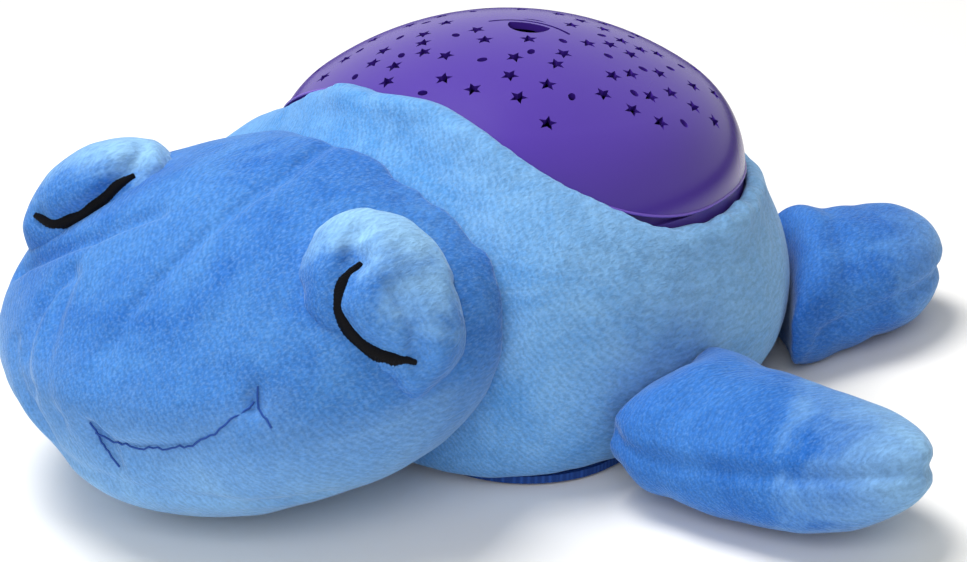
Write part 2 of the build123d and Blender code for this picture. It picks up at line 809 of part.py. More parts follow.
# Sheet contacts on both end walls, with a bump for each cell and two solder tabs
contact_reach = contact_room - contact_thickness - contact_bump
with BuildPart() as battery_contacts:
    for facing in (1, -1):
        wall = Plane(origin=(facing * box_length / 2, 0, cell_axis), x_dir=(0, 1, 0), z_dir=(-facing, 0, 0))
        with BuildSketch(wall):
            with Locations(*[(place, 0) for place in cell_places]):
                Rectangle(contact_width, contact_width)
        extrude(amount=contact_thickness)
        with BuildSketch(wall.offset(contact_thickness)):
            with Locations(*[(place, 0) for place in cell_places]):
                Circle(contact_bump_diameter / 2)
        extrude(amount=contact_bump + contact_reach)
    tab_wall = Plane.YZ.offset(box_length / 2)
    with BuildSketch(tab_wall):
        with Locations((cell_places[0], cell_axis), (cell_places[-1], cell_axis)):
            Rectangle(solder_tab_width, contact_thickness)
    extrude(amount=solder_tab_length)
battery_contacts.part.label = "battery_contacts"
export_step(battery_contacts.part, "parts/battery_contacts.step")

# Main board, its screws and what is soldered on it
with BuildPart() as main_board:
    with BuildSketch(Plane.XY.offset(board_low)):
        RectangleRounded(board_length, board_width, standoff_diameter / 2)
        with GridLocations(standoff_pitch_x, standoff_pitch_y, 2, 2):
            Circle(board_screw_diameter / 2 + screw_gap, mode=Mode.SUBTRACT)
    extrude(amount=board_thickness)
main_board.part.label = "main_board"
export_step(main_board.part, "parts/main_board.step")

with BuildPart() as board_screws:
    with BuildSketch(Plane.XY.offset(board_top)):
        with GridLocations(standoff_pitch_x, standoff_pitch_y, 2, 2):
            Circle(board_screw_head / 2)
    extrude(amount=board_screw_head_height)
    with BuildSketch(Plane.XY.offset(board_top)):
        with GridLocations(standoff_pitch_x, standoff_pitch_y, 2, 2):
            Circle(board_screw_diameter / 2)
    extrude(amount=-board_screw_length)
board_screws.part.label = "board_screws"
export_step(board_screws.part, "parts/board_screws.step")

chip_x = chip_place_share * board_length / 2
chip_y = -chip_place_share * board_width / 2
with BuildPart() as timer_chip:
    with BuildSketch(Plane.XY.offset(board_top)):
        with Locations((chip_x, chip_y)):
            Rectangle(chip_length, chip_width)
    extrude(amount=chip_height)
    with BuildSketch(Plane.XY.offset(board_top)):
        with Locations((chip_x, chip_y)):
            with GridLocations(chip_lead_pitch, chip_width + chip_lead, chip_lead_count, 2):
                Rectangle(chip_lead_width, chip_lead)
    extrude(amount=chip_lead_width)
timer_chip.part.label = "timer_chip"
export_step(timer_chip.part, "parts/timer_chip.step")

with BuildPart() as board_capacitor:
    with BuildSketch(Plane.XY.offset(board_top)):
        with Locations((-chip_x, chip_y)):
            Circle(capacitor_diameter / 2)
    extrude(amount=capacitor_height)
    fillet(board_capacitor.edges().group_by(Axis.Z)[-1], capacitor_edge)
board_capacitor.part.label = "board_capacitor"
export_step(board_capacitor.part, "parts/board_capacitor.step")

# Lamp post: foot, tube and cap with holes for the lamps' legs
lamp_low = board_top + lamp_post_height
lamp_turns = [2 * pi * n / len(lamp_colours) for n in range(len(lamp_colours))]
lamp_spots = [(lamp_circle * cos(turn), lamp_circle * sin(turn)) for turn in lamp_turns]
leg_spots = [(x + side * lamp_lead_pitch / 2, y) for x, y in lamp_spots for side in (-1, 1)]
with BuildPart() as lamp_post:
    with BuildSketch(Plane.XY.offset(board_top)):
        Circle(post_foot_diameter / 2)
    extrude(amount=post_foot_height)
    with BuildSketch(Plane.XY.offset(board_top)):
        Circle(post_tube_diameter / 2)
    extrude(amount=lamp_post_height)
    with BuildSketch(Plane.XY.offset(lamp_low)):
        Circle(post_cap_diameter / 2)
    extrude(amount=-post_cap_height)
    with BuildSketch(Plane.XY.offset(board_top)):
        Circle(post_tube_diameter / 2 - post_tube_wall)
    extrude(amount=lamp_post_height - post_cap_height, mode=Mode.SUBTRACT)
    with BuildSketch(Plane.XY.offset(lamp_low)):
        with Locations(*leg_spots):
            Circle(lamp_lead_diameter / 2 + lamp_lead_play)
    extrude(amount=-post_cap_height, mode=Mode.SUBTRACT)
lamp_post.part.label = "lamp_post"
export_step(lamp_post.part, "parts/lamp_post.step")

# Lamps: round-nosed bodies on a flange, with two legs down to the board
for colour, (x, y) in zip(lamp_colours, lamp_spots):
    with BuildPart() as lamp:
        with BuildSketch(Plane.XY.offset(lamp_low)):
            with Locations((x, y)):
                Circle(lamp_flange_diameter / 2)
        extrude(amount=lamp_flange_height)
        with BuildSketch(Plane.XY.offset(lamp_low)):
            with Locations((x, y)):
                Circle(lamp_diameter / 2)
        extrude(amount=lamp_height - lamp_diameter / 2)
        with Locations((x, y, lamp_low + lamp_height - lamp_diameter / 2)):
            Sphere(lamp_diameter / 2)
        with BuildSketch(Plane.XY.offset(lamp_low)):
            with Locations((x - lamp_lead_pitch / 2, y), (x + lamp_lead_pitch / 2, y)):
                Circle(lamp_lead_diameter / 2)
        extrude(amount=-lamp_post_height)
    lamp.part.label = "lamp_" + colour
    export_step(lamp.part, "parts/lamp_" + colour + ".step")

# Push buttons: round caps through the dome, held from inside by a flange
for name, place in zip(("power", "amber", "green", "blue"), button_places):
    cap_top = dome_depth(place) + button_stand
    with BuildPart() as button:
        with BuildSketch(button_frame.offset(flange_front)):
            with Locations((place, 0)):
                Circle(button_flange / 2)
        extrude(amount=-button_flange_height)
        with BuildSketch(button_frame.offset(flange_front)):
            with Locations((place, 0)):
                Circle(button_diameter / 2)
        extrude(amount=cap_top - flange_front)
        press_axis = Axis(button_frame.origin, button_frame.z_dir)
        fillet(button.faces().sort_by(press_axis)[-1].edges(), button_edge)
    button.part.label = name + "_button"
    export_step(button.part, "parts/" + name + "_button.step")

# Button board with a tact switch behind each button
with BuildPart() as button_board:
    with BuildSketch(button_frame.offset(button_board_front)):
        Rectangle(button_board_length, button_board_width)
        with Locations((-button_boss_place, 0), (button_boss_place, 0)):
            Circle(button_screw_diameter / 2 + screw_gap, mode=Mode.SUBTRACT)
    extrude(amount=-board_thickness)
button_board.part.label = "button_board"
export_step(button_board.part, "parts/button_board.step")

with BuildPart() as button_switches:
    with BuildSketch(button_frame.offset(button_board_front)):
        with Locations(*[(place, 0) for place in button_places]):
            Rectangle(switch_size, switch_size)
    extrude(amount=switch_body)
    with BuildSketch(button_frame.offset(button_board_front + switch_body)):
        with Locations(*[(place, 0) for place in button_places]):
            Circle(switch_plunger_diameter / 2)
    extrude(amount=switch_plunger)
button_switches.part.label = "button_switches"
export_step(button_switches.part, "parts/button_switches.step")

with BuildPart() as button_board_screws:
    with BuildSketch(button_frame.offset(button_board_front - board_thickness)):
        with Locations((-button_boss_place, 0), (button_boss_place, 0)):
            Circle(button_screw_head / 2)
    extrude(amount=-button_screw_head_height)
    with BuildSketch(button_frame.offset(button_board_front - board_thickness)):
        with Locations((-button_boss_place, 0), (button_boss_place, 0)):
            Circle(button_screw_diameter / 2)
    extrude(amount=button_screw_length)
button_board_screws.part.label = "button_board_screws"
export_step(button_board_screws.part, "parts/button_board_screws.step")

# Battery leads, from the solder tabs up and over the edge of the main board
tab_end = box_length / 2 + solder_tab_length
lead_side = max(tab_end, board_length / 2) + lead_reach
for colour, place in (("red", cell_places[-1]), ("black", cell_places[0])):
    with BuildPart() as lead:
        with BuildLine() as route:
            FilletPolyline(
                (tab_end, place, cell_axis),
                (lead_side, place, cell_axis),
                (lead_side, place, board_top + lead_rise),
                (board_length / 2 - lead_landing, place, board_top + lead_rise),
                (board_length / 2 - lead_landing, place, board_top),
                radius=lead_bend,
            )
        with BuildSketch(Plane(origin=route.line @ 0, z_dir=route.line % 0)):
            Circle(lead_diameter / 2)
        sweep()
    lead.part.label = "battery_lead_" + colour
    export_step(lead.part, "parts/battery_lead_" + colour + ".step")
    print(colour, "lead volume over section times length",
          lead.part.volume / (pi * lead_diameter**2 / 4 * route.wire().length))

# Button lead, from the back of the button board down to the main board
lead_start = button_frame.offset(button_board_front - board_thickness).origin
lead_turn = button_frame.offset(button_board_front - board_thickness - button_lead_run).origin
landing = button_lead_landing_share * board_width / 2
with BuildPart() as button_lead:
    with BuildLine() as route:
        FilletPolyline(
            lead_start,
            lead_turn,
            (0, landing, board_top + button_lead_drop),
            (0, landing, board_top),
            radius=button_lead_bend,
        )
    with BuildSketch(Plane(origin=route.line @ 0, z_dir=route.line % 0)):
        Circle(button_lead_diameter / 2)
    sweep()
button_lead.part.label = "button_lead"
export_step(button_lead.part, "parts/button_lead.step")
print("button lead volume over section times length",
      button_lead.part.volume / (pi * button_lead_diameter**2 / 4 * route.wire().length))

# Plush body: cover and fill, both round the pocket for the dome and the bowl
with BuildPart() as body_cover:
    add(body_outer)
    add(body_inner, mode=Mode.SUBTRACT)
    add(pocket.part, mode=Mode.SUBTRACT)
body_cover.part.label = "body_cover"
export_step(body_cover.part, "parts/body_cover.step")

with BuildPart() as body_stuffing:
    add(body_inner)
    add(pocket.part, mode=Mode.SUBTRACT)
body_stuffing.part.label = "body_stuffing"
export_step(body_stuffing.part, "parts/body_stuffing.step")

# Belly panel round the foot of the bowl
shoulder_x = belly_shoulder_x_share * body_width / 2
shoulder_y = -belly_shoulder_y_share * body_front
with BuildPart() as belly_panel:
    with BuildSketch(Plane.XY.offset(belly_low)) as belly_outline:
        with BuildLine():
            CenterArc((0, 0), belly_rear_share * body_rear, 0, 360)
            CenterArc((shoulder_x, shoulder_y), belly_shoulder_radius_share * body_width / 2, 0, 360)
            CenterArc((-shoulder_x, shoulder_y), belly_shoulder_radius_share * body_width / 2, 0, 360)
        make_hull()
        Circle(base_radius + soft_gap, mode=Mode.SUBTRACT)
    extrude(amount=belly_thickness)
belly_panel.part.label = "belly_panel"
export_step(belly_panel.part, "parts/belly_panel.step")

# Head: cover and fill, cut by the body
with BuildPart() as head_cover:
    add(head_outer)
    add(head_inner, mode=Mode.SUBTRACT)
    add(body_outer, mode=Mode.SUBTRACT)
head_cover.part.label = "head_cover"
export_step(head_cover.part, "parts/head_cover.step")

with BuildPart() as head_stuffing:
    add(head_inner)
    add(body_outer, mode=Mode.SUBTRACT)
head_stuffing.part.label = "head_stuffing"
export_step(head_stuffing.part, "parts/head_stuffing.step")

# Eye mounds, cut by the head and the body, and the satin stitch of the closed eyes
stitch_points = []
for ahead, down in (stitch_top_shares, stitch_middle_shares, stitch_outer_shares):
    stitch_points.append((ahead * mound_length / 2, down * mound_breadth / 2))
for side, place in (
    ("left", (left_mound_x, left_mound_setback, left_mound_z)),
    ("right", (right_mound_x, right_mound_setback, right_mound_z)),
):
    base = mound_plane(*place)
    outer = mound_form(base, 0)
    with BuildPart() as arc:
        with BuildSketch(base.offset(-mound_depth)):
            with BuildLine():
                ThreePointArc(*stitch_points)
                offset(amount=stitch_width / 2, side=Side.BOTH)
            make_face()
        extrude(amount=2 * (mound_depth + mound_stand))
        add(mound_form(base, stitch_raise), mode=Mode.INTERSECT)
        add(outer, mode=Mode.SUBTRACT)
    with BuildPart() as mound:
        if side == "left":
            add(outer)
        else:
            mirror(outer, about=Plane.YZ)
        add(head_outer, mode=Mode.SUBTRACT)
        add(body_outer, mode=Mode.SUBTRACT)
    with BuildPart() as stitch:
        if side == "left":
            add(arc.part)
        else:
            mirror(arc.part, about=Plane.YZ)
        add(head_outer, mode=Mode.SUBTRACT)
    mound.part.label = "eye_mound_" + side
    stitch.part.label = "eye_stitch_" + side
    export_step(mound.part, "parts/" + mound.part.label + ".step")
    export_step(stitch.part, "parts/" + stitch.part.label + ".step")

# Flippers: cover and fill, held off the body by the seam
flippers = (
    ("front", front_shares, (front_root_x, front_root_y), front_heading, front_reach, front_width,
     front_thickness, front_root_lift),
    ("rear", rear_shares, (rear_root_x, rear_root_y), rear_heading, rear_reach, rear_width,
     rear_thickness, rear_root_lift),
)
for end, *sizes in flippers:
    outer = flipper_form(*sizes, 0)
    inner = flipper_form(*sizes, skin)
    with BuildPart() as cover_left:
        add(outer)
        add(inner, mode=Mode.SUBTRACT)
        add(body_clear, mode=Mode.SUBTRACT)
    with BuildPart() as stuffing_left:
        add(inner)
        add(body_clear, mode=Mode.SUBTRACT)
    with BuildPart() as cover_right:
        mirror(cover_left.part, about=Plane.YZ)
    with BuildPart() as stuffing_right:
        mirror(stuffing_left.part, about=Plane.YZ)
    pairs = (("left", cover_left, stuffing_left), ("right", cover_right, stuffing_right))
    for side, cover, stuffing in pairs:
        cover.part.label = end + "_flipper_" + side
        stuffing.part.label = end + "_flipper_stuffing_" + side
        export_step(cover.part, "parts/" + cover.part.label + ".step")
        export_step(stuffing.part, "parts/" + stuffing.part.label + ".step")
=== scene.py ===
import math

import bmesh
import bpy
import numpy as np
from mathutils import Matrix, Vector, noise
from mathutils.bvhtree import BVHTree


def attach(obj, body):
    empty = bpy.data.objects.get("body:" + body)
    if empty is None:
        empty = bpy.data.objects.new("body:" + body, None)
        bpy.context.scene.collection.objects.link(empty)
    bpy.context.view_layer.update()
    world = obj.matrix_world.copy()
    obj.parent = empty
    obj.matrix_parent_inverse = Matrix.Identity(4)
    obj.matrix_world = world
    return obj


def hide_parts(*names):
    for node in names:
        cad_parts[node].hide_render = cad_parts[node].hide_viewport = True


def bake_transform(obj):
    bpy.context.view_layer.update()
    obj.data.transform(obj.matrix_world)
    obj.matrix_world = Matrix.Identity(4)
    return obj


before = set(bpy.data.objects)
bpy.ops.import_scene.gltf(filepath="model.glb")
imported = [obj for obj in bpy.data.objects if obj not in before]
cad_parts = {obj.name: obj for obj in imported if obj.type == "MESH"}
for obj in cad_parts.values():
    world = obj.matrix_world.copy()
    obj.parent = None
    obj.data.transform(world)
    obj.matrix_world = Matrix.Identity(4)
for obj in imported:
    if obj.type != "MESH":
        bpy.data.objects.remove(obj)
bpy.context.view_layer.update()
scene = bpy.context.scene
scene.view_settings.view_transform = "Standard"

# Camera
# A long lens from the turtle's front left, a little above it, as the photograph was taken.
# The frame is 967 by 562 and the lens is 2360 of those pixels long.
turn = math.radians(42)
lift = math.radians(21)
back = Vector((math.sin(turn) * math.cos(lift), -math.cos(turn) * math.cos(lift), math.sin(lift)))
right = Vector((math.cos(turn), math.sin(turn), 0))
up = back.cross(right)
camera = bpy.data.objects.new("camera", bpy.data.cameras.new("camera"))
camera.data.sensor_width = 36
camera.data.lens = 36 * 2360 / 967
camera.data.clip_start = 0.05
camera.data.clip_end = 20
camera.matrix_world = Matrix((
    (right.x, up.x, back.x, 0),
    (right.y, up.y, back.y, 0),
    (right.z, up.z, back.z, 0),
    (0, 0, 0, 1),
))
camera.location = Vector((0, 0, 0.07)) + back * 0.8 - right * 0.008305 - up * 0.04047
scene.collection.objects.link(camera)
scene.camera = camera


# Base bowl and battery door
# The lower housing is injection-moulded in purple plastic with a spark-eroded, matt underside.
# It stands on the table, and the door in its floor is flush with it.
def linear(code):
    """Colour of an sRGB hex code as linear red, green, blue and full cover."""
    parts = [int(code[n:n + 2], 16) / 255 for n in (1, 3, 5)]
    return tuple(p / 12.92 if p <= 0.04045 else ((p + 0.055) / 1.055) ** 2.4 for p in parts) + (1.0,)


def add_node(tree, kind, inputs, **settings):
    """Adds a node, sets its settings, and sets or links its inputs."""
    made = tree.nodes.new(kind)
    for name, value in settings.items():
        setattr(made, name, value)
    for name, value in inputs.items():
        if isinstance(value, bpy.types.NodeSocket):
            tree.links.new(value, made.inputs[name])
        else:
            made.inputs[name].default_value = value
    return made


def empty_material(name):
    """A named material with nothing in it but a texture coordinate node, and the place on the surface in metres."""
    material = bpy.data.materials.new(name)
    material.use_nodes = True
    tree = material.node_tree
    tree.nodes.clear()
    place = add_node(tree, "ShaderNodeTexCoord", {}).outputs["Object"]
    return material, tree, place


def moulded_plastic(name, low, high, roughness, grain_mm, grain_depth_mm, coat=0.0):
    """Coloured ABS as it comes out of a tool: nearly even colour, faint flow clouds, a fine tool grain."""
    material, tree, place = empty_material(name)
    clouds = add_node(tree, "ShaderNodeTexNoise", {"Vector": place, "Scale": 1000 / 40, "Detail": 3.0})
    colour = add_node(tree, "ShaderNodeMix", {"Factor": clouds.outputs["Fac"], "A": linear(low), "B": linear(high)},
                      data_type="RGBA")
    grain = add_node(tree, "ShaderNodeTexNoise", {"Vector": place, "Scale": 1000 / grain_mm, "Detail": 2.0})
    bump = add_node(tree, "ShaderNodeBump", {"Height": grain.outputs["Fac"], "Strength": 0.5,
                                             "Distance": grain_depth_mm / 1000})
    polish = add_node(tree, "ShaderNodeMapRange", {"Value": clouds.outputs["Fac"], "To Min": roughness * 0.85,
                                                   "To Max": roughness * 1.15})
    shader = add_node(tree, "ShaderNodeBsdfPrincipled", {
        "Base Color": colour.outputs["Result"], "Roughness": polish.outputs["Result"], "IOR": 1.53,
        "Coat Weight": coat, "Coat Roughness": 0.08, "Normal": bump.outputs["Normal"]})
    add_node(tree, "ShaderNodeOutputMaterial", {"Surface": shader.outputs["BSDF"]})
    return material


def dress(material, *nodes):
    """Gives CAD nodes a material."""
    for name in nodes:
        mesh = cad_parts[name].data
        mesh.materials.clear()
        mesh.materials.append(material)


dress(moulded_plastic("matt purple ABS", "#47308A", "#4E3696", 0.5, 0.9, 0.05), "base_bowl", "battery_door")

# Screws, contacts and cells
# Zinc-plated steel screws, nickel-plated sheet contacts and three dry cells in plain sleeves.
# All are hidden once the housing is closed.


def plated_metal(name, low, high, roughness, scratch_mm):
    """Plated steel: bright, with fine marks from handling that spread the gleam."""
    material, tree, place = empty_material(name)
    marks = add_node(tree, "ShaderNodeTexNoise", {"Vector": place, "Scale": 1000 / scratch_mm, "Detail": 4.0})
    colour = add_node(tree, "ShaderNodeMix", {"Factor": marks.outputs["Fac"], "A": linear(low), "B": linear(high)},
                      data_type="RGBA")
    polish = add_node(tree, "ShaderNodeMapRange", {"Value": marks.outputs["Fac"], "To Min": roughness * 0.7,
                                                   "To Max": roughness * 1.3})
    shader = add_node(tree, "ShaderNodeBsdfPrincipled", {
        "Base Color": colour.outputs["Result"], "Metallic": 1.0, "Roughness": polish.outputs["Result"]})
    add_node(tree, "ShaderNodeOutputMaterial", {"Surface": shader.outputs["BSDF"]})
    return material


dress(plated_metal("zinc-plated steel", "#A9ABB0", "#C9CBD0", 0.32, 0.6),
      "dome_screws", "battery_door_screw", "board_screws", "button_board_screws")
dress(plated_metal("nickel-plated sheet", "#BDBBB2", "#D6D4CC", 0.25, 0.8), "battery_contacts")
dress(moulded_plastic("shrunk cell sleeve", "#2B2C31", "#36373D", 0.3, 1.2, 0.02), "battery_cells")

# Boards and what is soldered on them
# Green solder mask over glass laminate, black moulded packages and an aluminium capacitor can.
# The lamps are tinted clear resin on a white post.
dress(moulded_plastic("green solder mask", "#0F4A26", "#16592F", 0.35, 0.7, 0.03), "main_board", "button_board")
dress(moulded_plastic("black moulded epoxy", "#151517", "#1E1E20", 0.55, 0.4, 0.02), "timer_chip", "button_switches")
dress(plated_metal("drawn aluminium can", "#9C9EA3", "#B4B6BB", 0.35, 0.9), "board_capacitor")
dress(moulded_plastic("white polystyrene", "#E6E5DF", "#EFEEE9", 0.4, 0.9, 0.03), "lamp_post")


def tinted_resin(name, low, high):
    """Cast clear resin with a dye: light passes through it and the surface is glassy."""
    material, tree, place = empty_material(name)
    swirl = add_node(tree, "ShaderNodeTexNoise", {"Vector": place, "Scale": 1000 / 3, "Detail": 2.0})
    colour = add_node(tree, "ShaderNodeMix", {"Factor": swirl.outputs["Fac"], "A": linear(low), "B": linear(high)},
                      data_type="RGBA")
    shader = add_node(tree, "ShaderNodeBsdfPrincipled", {
        "Base Color": colour.outputs["Result"], "Roughness": 0.08, "IOR": 1.54, "Transmission Weight": 0.6})
    add_node(tree, "ShaderNodeOutputMaterial", {"Surface": shader.outputs["BSDF"]})
    return material


dress(tinted_resin("amber lamp resin", "#E08A1E", "#F2A43A"), "lamp_amber")
dress(tinted_resin("green lamp resin", "#2FA548", "#4BC062"), "lamp_green")
dress(tinted_resin("blue lamp resin", "#2A55D0", "#4470E8"), "lamp_blue")
dress(moulded_plastic("red wire insulation", "#A81A1A", "#B82424", 0.45, 0.6, 0.02), "battery_lead_red")
dress(moulded_plastic("black wire insulation", "#17171A", "#202024", 0.45, 0.6, 0.02), "battery_lead_black")
dress(moulded_plastic("grey wire insulation", "#7D7F84", "#8C8E93", 0.45, 0.6, 0.02), "button_lead")

# Push buttons
# Four moulded caps at the tail end of the dome, one for power and one for each lamp colour.
dress(moulded_plastic("pale grey button ABS", "#D6D7DC", "#E0E1E6", 0.3, 0.7, 0.02, coat=0.2), "power_button")
dress(moulded_plastic("amber button ABS", "#E0922A", "#EA9F3A", 0.3, 0.7, 0.02, coat=0.2), "amber_button")
dress(moulded_plastic("green button ABS", "#3A9E4C", "#46AC58", 0.3, 0.7, 0.02, coat=0.2), "green_button")
dress(moulded_plastic("blue button ABS", "#2E60CE", "#3A6CDA", 0.3, 0.7, 0.02, coat=0.2), "blue_button")

# Star dome
# The shell of the turtle: polished purple ABS, pierced with stars, dots and a ringed planet.
# Its gloss shows the bright room as a broad pale sheen near the top and at the edges.
dress(moulded_plastic("polished purple ABS", "#422490", "#4A2B9A", 0.26, 2.5, 0.03, coat=0.08), "star_dome")
dome_radius, dome_rise, dome_shoulder, rim_height = 0.080, 0.050, 0.036, 0.070
shoulder_middle = dome_radius - dome_shoulder
cap_radius = (shoulder_middle**2 + dome_rise**2 - dome_shoulder**2) / (2 * (dome_rise - dome_shoulder))
cap_middle = rim_height + dome_rise - cap_radius


def dome_reach(height):
    """Distance of the dome's outer face from its axis at a height above its rim plane."""
    tall = np.clip(height, rim_height, rim_height + dome_rise)
    shoulder = shoulder_middle + np.sqrt(np.maximum(dome_shoulder**2 - (tall - rim_height) ** 2, 0))
    cap = np.sqrt(np.maximum(cap_radius**2 - (tall - cap_middle) ** 2, 0))
    meeting = cap_middle + (rim_height - cap_middle) * cap_radius / (cap_radius - dome_shoulder)
    return np.where(tall > meeting, cap, shoulder)


# Dome lip
# A fine moulded bead along the dome's lower edge, round the back and up over the arch in front. It is paler than the
# dome: a painted highlight along the dome's rounded edge.
arch_start, arch_reach, arch_rise = 0.007, 0.062, 0.034
arch_top = rim_height + arch_rise
lip_points = []
rear_turn = math.asin(arch_start / dome_radius)
for step in range(49):
    angle = rear_turn + (math.pi - 2 * rear_turn) * step / 48
    lip_points.append((dome_radius * math.cos(angle), dome_radius * math.sin(angle), rim_height))
arch_points = []
for step in range(1, 28):
    swing = math.radians(90) * step / 28
    y = arch_start - arch_reach * math.sin(swing)
    z = arch_top - arch_rise * math.cos(swing)
    across = float(dome_reach(z)) ** 2 - y * y
    arch_points.append((math.sqrt(max(across, 0.0)), y, z))
front_reach = float(dome_reach(arch_top))
front_turn = math.acos((arch_reach - arch_start) / front_reach)
front_points = []
for step in range(13):
    angle = front_turn - 2 * front_turn * step / 12
    front_points.append((front_reach * math.sin(angle), -front_reach * math.cos(angle), arch_top))
lip_line = lip_points + [(-x, y, z) for x, y, z in arch_points]
lip_line += [(-x, y, z) for x, y, z in front_points] + arch_points[::-1]
lip_curve = bpy.data.curves.new("dome_lip", "CURVE")
lip_curve.dimensions = "3D"
lip_curve.bevel_depth = 0.0005
lip_curve.bevel_resolution = 3
lip_spline = lip_curve.splines.new("POLY")
lip_spline.points.add(len(lip_line) - 1)
for point, spot in zip(lip_spline.points, lip_line):
    point.co = (spot[0], spot[1], spot[2] + 0.0006, 1)
lip_spline.use_cyclic_u = True
lip_curve.materials.append(moulded_plastic("purple lip with painted rim highlight", "#6A48BC", "#7251C2", 0.25, 2.0, 0.01, coat=0.2))
dome_lip = bpy.data.objects.new("dome_lip", lip_curve)
scene.collection.objects.link(dome_lip)
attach(dome_lip, "turtle")

# Plush body
# A cushion of short-pile velour over polyester fill, open in the middle for the housing, its edge
# turned in and drawn up tight round the dome. The fill swells the cover between its seams.


def velour(name, deep, mid, pale, brushed_and_lit, way, brushed_and_lit_from, brushed_and_lit_to, nap_turn):
    """Brushed short-pile velour: the nap lies in soft patches, short strokes and ripples. Along a way, between two
    distances in millimetres, it turns paler: painted light where the raised nap catches it. Loose fibres at a form's
    edge catch the light as a pale sheen. Fibres are drawn 0.6 mm broad, coarser than they are, so that they show."""
    material, tree, place = empty_material(name)
    drift = add_node(tree, "ShaderNodeMapping", {"Vector": place, "Rotation": nap_turn, "Scale": (1.0, 0.6, 1.0)})
    patches = add_node(tree, "ShaderNodeTexNoise", {"Vector": drift.outputs["Vector"], "Scale": 1000 / 28,
                                                    "Detail": 5.0, "Roughness": 0.62, "Distortion": 0.9})
    strokes = add_node(tree, "ShaderNodeMapping", {"Vector": place, "Rotation": nap_turn, "Scale": (1.0, 0.34, 1.0)})
    streaks = add_node(tree, "ShaderNodeTexNoise", {"Vector": strokes.outputs["Vector"], "Scale": 1000 / 1.1,
                                                    "Detail": 3.0, "Roughness": 0.7})
    fibres = add_node(tree, "ShaderNodeTexNoise", {"Vector": strokes.outputs["Vector"], "Scale": 1000 / 0.6,
                                                   "Detail": 2.0})
    patch_share = add_node(tree, "ShaderNodeMapRange", {"Value": patches.outputs["Fac"], "From Min": 0.34,
                                                        "From Max": 0.66})
    base = add_node(tree, "ShaderNodeMix", {"Factor": patch_share.outputs["Result"], "A": linear(deep),
                                            "B": linear(mid)}, data_type="RGBA")
    # From here on the colour turns paler along the way: painted light where the raised nap catches it.
    along = add_node(tree, "ShaderNodeVectorMath", {0: place, 1: way}, operation="DOT_PRODUCT")
    wander = add_node(tree, "ShaderNodeMath", {0: patches.outputs["Fac"], 1: 0.07, 2: -0.035},
                      operation="MULTIPLY_ADD")
    distance = add_node(tree, "ShaderNodeMath", {0: along.outputs["Value"], 1: wander.outputs["Value"]},
                        operation="ADD")
    brushed_and_lit_share = add_node(tree, "ShaderNodeMapRange", {
        "Value": distance.outputs["Value"], "From Min": brushed_and_lit_from / 1000, "From Max": brushed_and_lit_to / 1000})
    napped_and_lit = add_node(tree, "ShaderNodeMix", {"Factor": brushed_and_lit_share.outputs["Result"],
                                              "A": base.outputs["Result"], "B": linear(brushed_and_lit)}, data_type="RGBA")
    wave_scale_of_1_mm, ripple_mm = 363, 1.4
    ripples = add_node(tree, "ShaderNodeTexWave", {
        "Vector": drift.outputs["Vector"], "Scale": wave_scale_of_1_mm / ripple_mm, "Distortion": 8.0, "Detail": 3.0,
        "Detail Scale": 1.2, "Detail Roughness": 0.6}, bands_direction="DIAGONAL")
    pile = add_node(tree, "ShaderNodeMix", {"Factor": 0.15, "A": streaks.outputs["Fac"], "B": ripples.outputs["Fac"]})
    tone = add_node(tree, "ShaderNodeMapRange", {"Value": pile.outputs["Result"], "From Min": 0.34, "From Max": 0.68,
                                                 "To Min": 0.84, "To Max": 1.16})
    ruffled = add_node(tree, "ShaderNodeMix", {"Factor": 1.0, "A": napped_and_lit.outputs["Result"],
                                               "B": tone.outputs["Result"]}, data_type="RGBA", blend_type="MULTIPLY")
    tips = add_node(tree, "ShaderNodeMapRange", {"Value": fibres.outputs["Fac"], "From Min": 0.46, "From Max": 0.78,
                                                 "To Max": 0.26})
    colour = add_node(tree, "ShaderNodeMix", {"Factor": tips.outputs["Result"],
                                              "A": ruffled.outputs["Result"], "B": linear(pale)}, data_type="RGBA")
    bump = add_node(tree, "ShaderNodeBump", {"Height": pile.outputs["Result"], "Strength": 0.55, "Distance": 0.0008})
    shader = add_node(tree, "ShaderNodeBsdfPrincipled", {
        "Base Color": colour.outputs["Result"], "Roughness": 0.95, "Specular IOR Level": 0.1,
        "Sheen Weight": 0.45, "Sheen Roughness": 0.3, "Sheen Tint": linear("#CFE4F8"),
        "Normal": bump.outputs["Normal"]})
    add_node(tree, "ShaderNodeOutputMaterial", {"Surface": shader.outputs["BSDF"]})
    return material


def points_of(form):
    """Places and normals of a form's points."""
    count = len(form.data.vertices)
    places = np.zeros(count * 3, np.float32)
    form.data.vertices.foreach_get("co", places)
    normals = np.zeros(count * 3, np.float32)
    form.data.vertex_normals.foreach_get("vector", normals)
    return places.reshape(-1, 3).astype(float), normals.reshape(-1, 3).astype(float)


def move_points(form, places):
    """Puts a form's points at new places."""
    form.data.vertices.foreach_set("co", places.astype(np.float32).ravel())
    form.data.update()


def settle(form):
    """Makes what a form's modifiers give its own mesh."""
    bpy.context.view_layer.update()
    made = bpy.data.meshes.new_from_object(form.evaluated_get(bpy.context.evaluated_depsgraph_get()))
    form.modifiers.clear()
    form.data = made


def even_mesh(form, size, rounds):
    """Meshes a form evenly and rounds off its edges."""
    remesh = form.modifiers.new("even", "REMESH")
    remesh.mode = "VOXEL"
    remesh.voxel_size = size
    rub = form.modifiers.new("rub", "SMOOTH")
    rub.factor = 0.5
    rub.iterations = rounds
    settle(form)


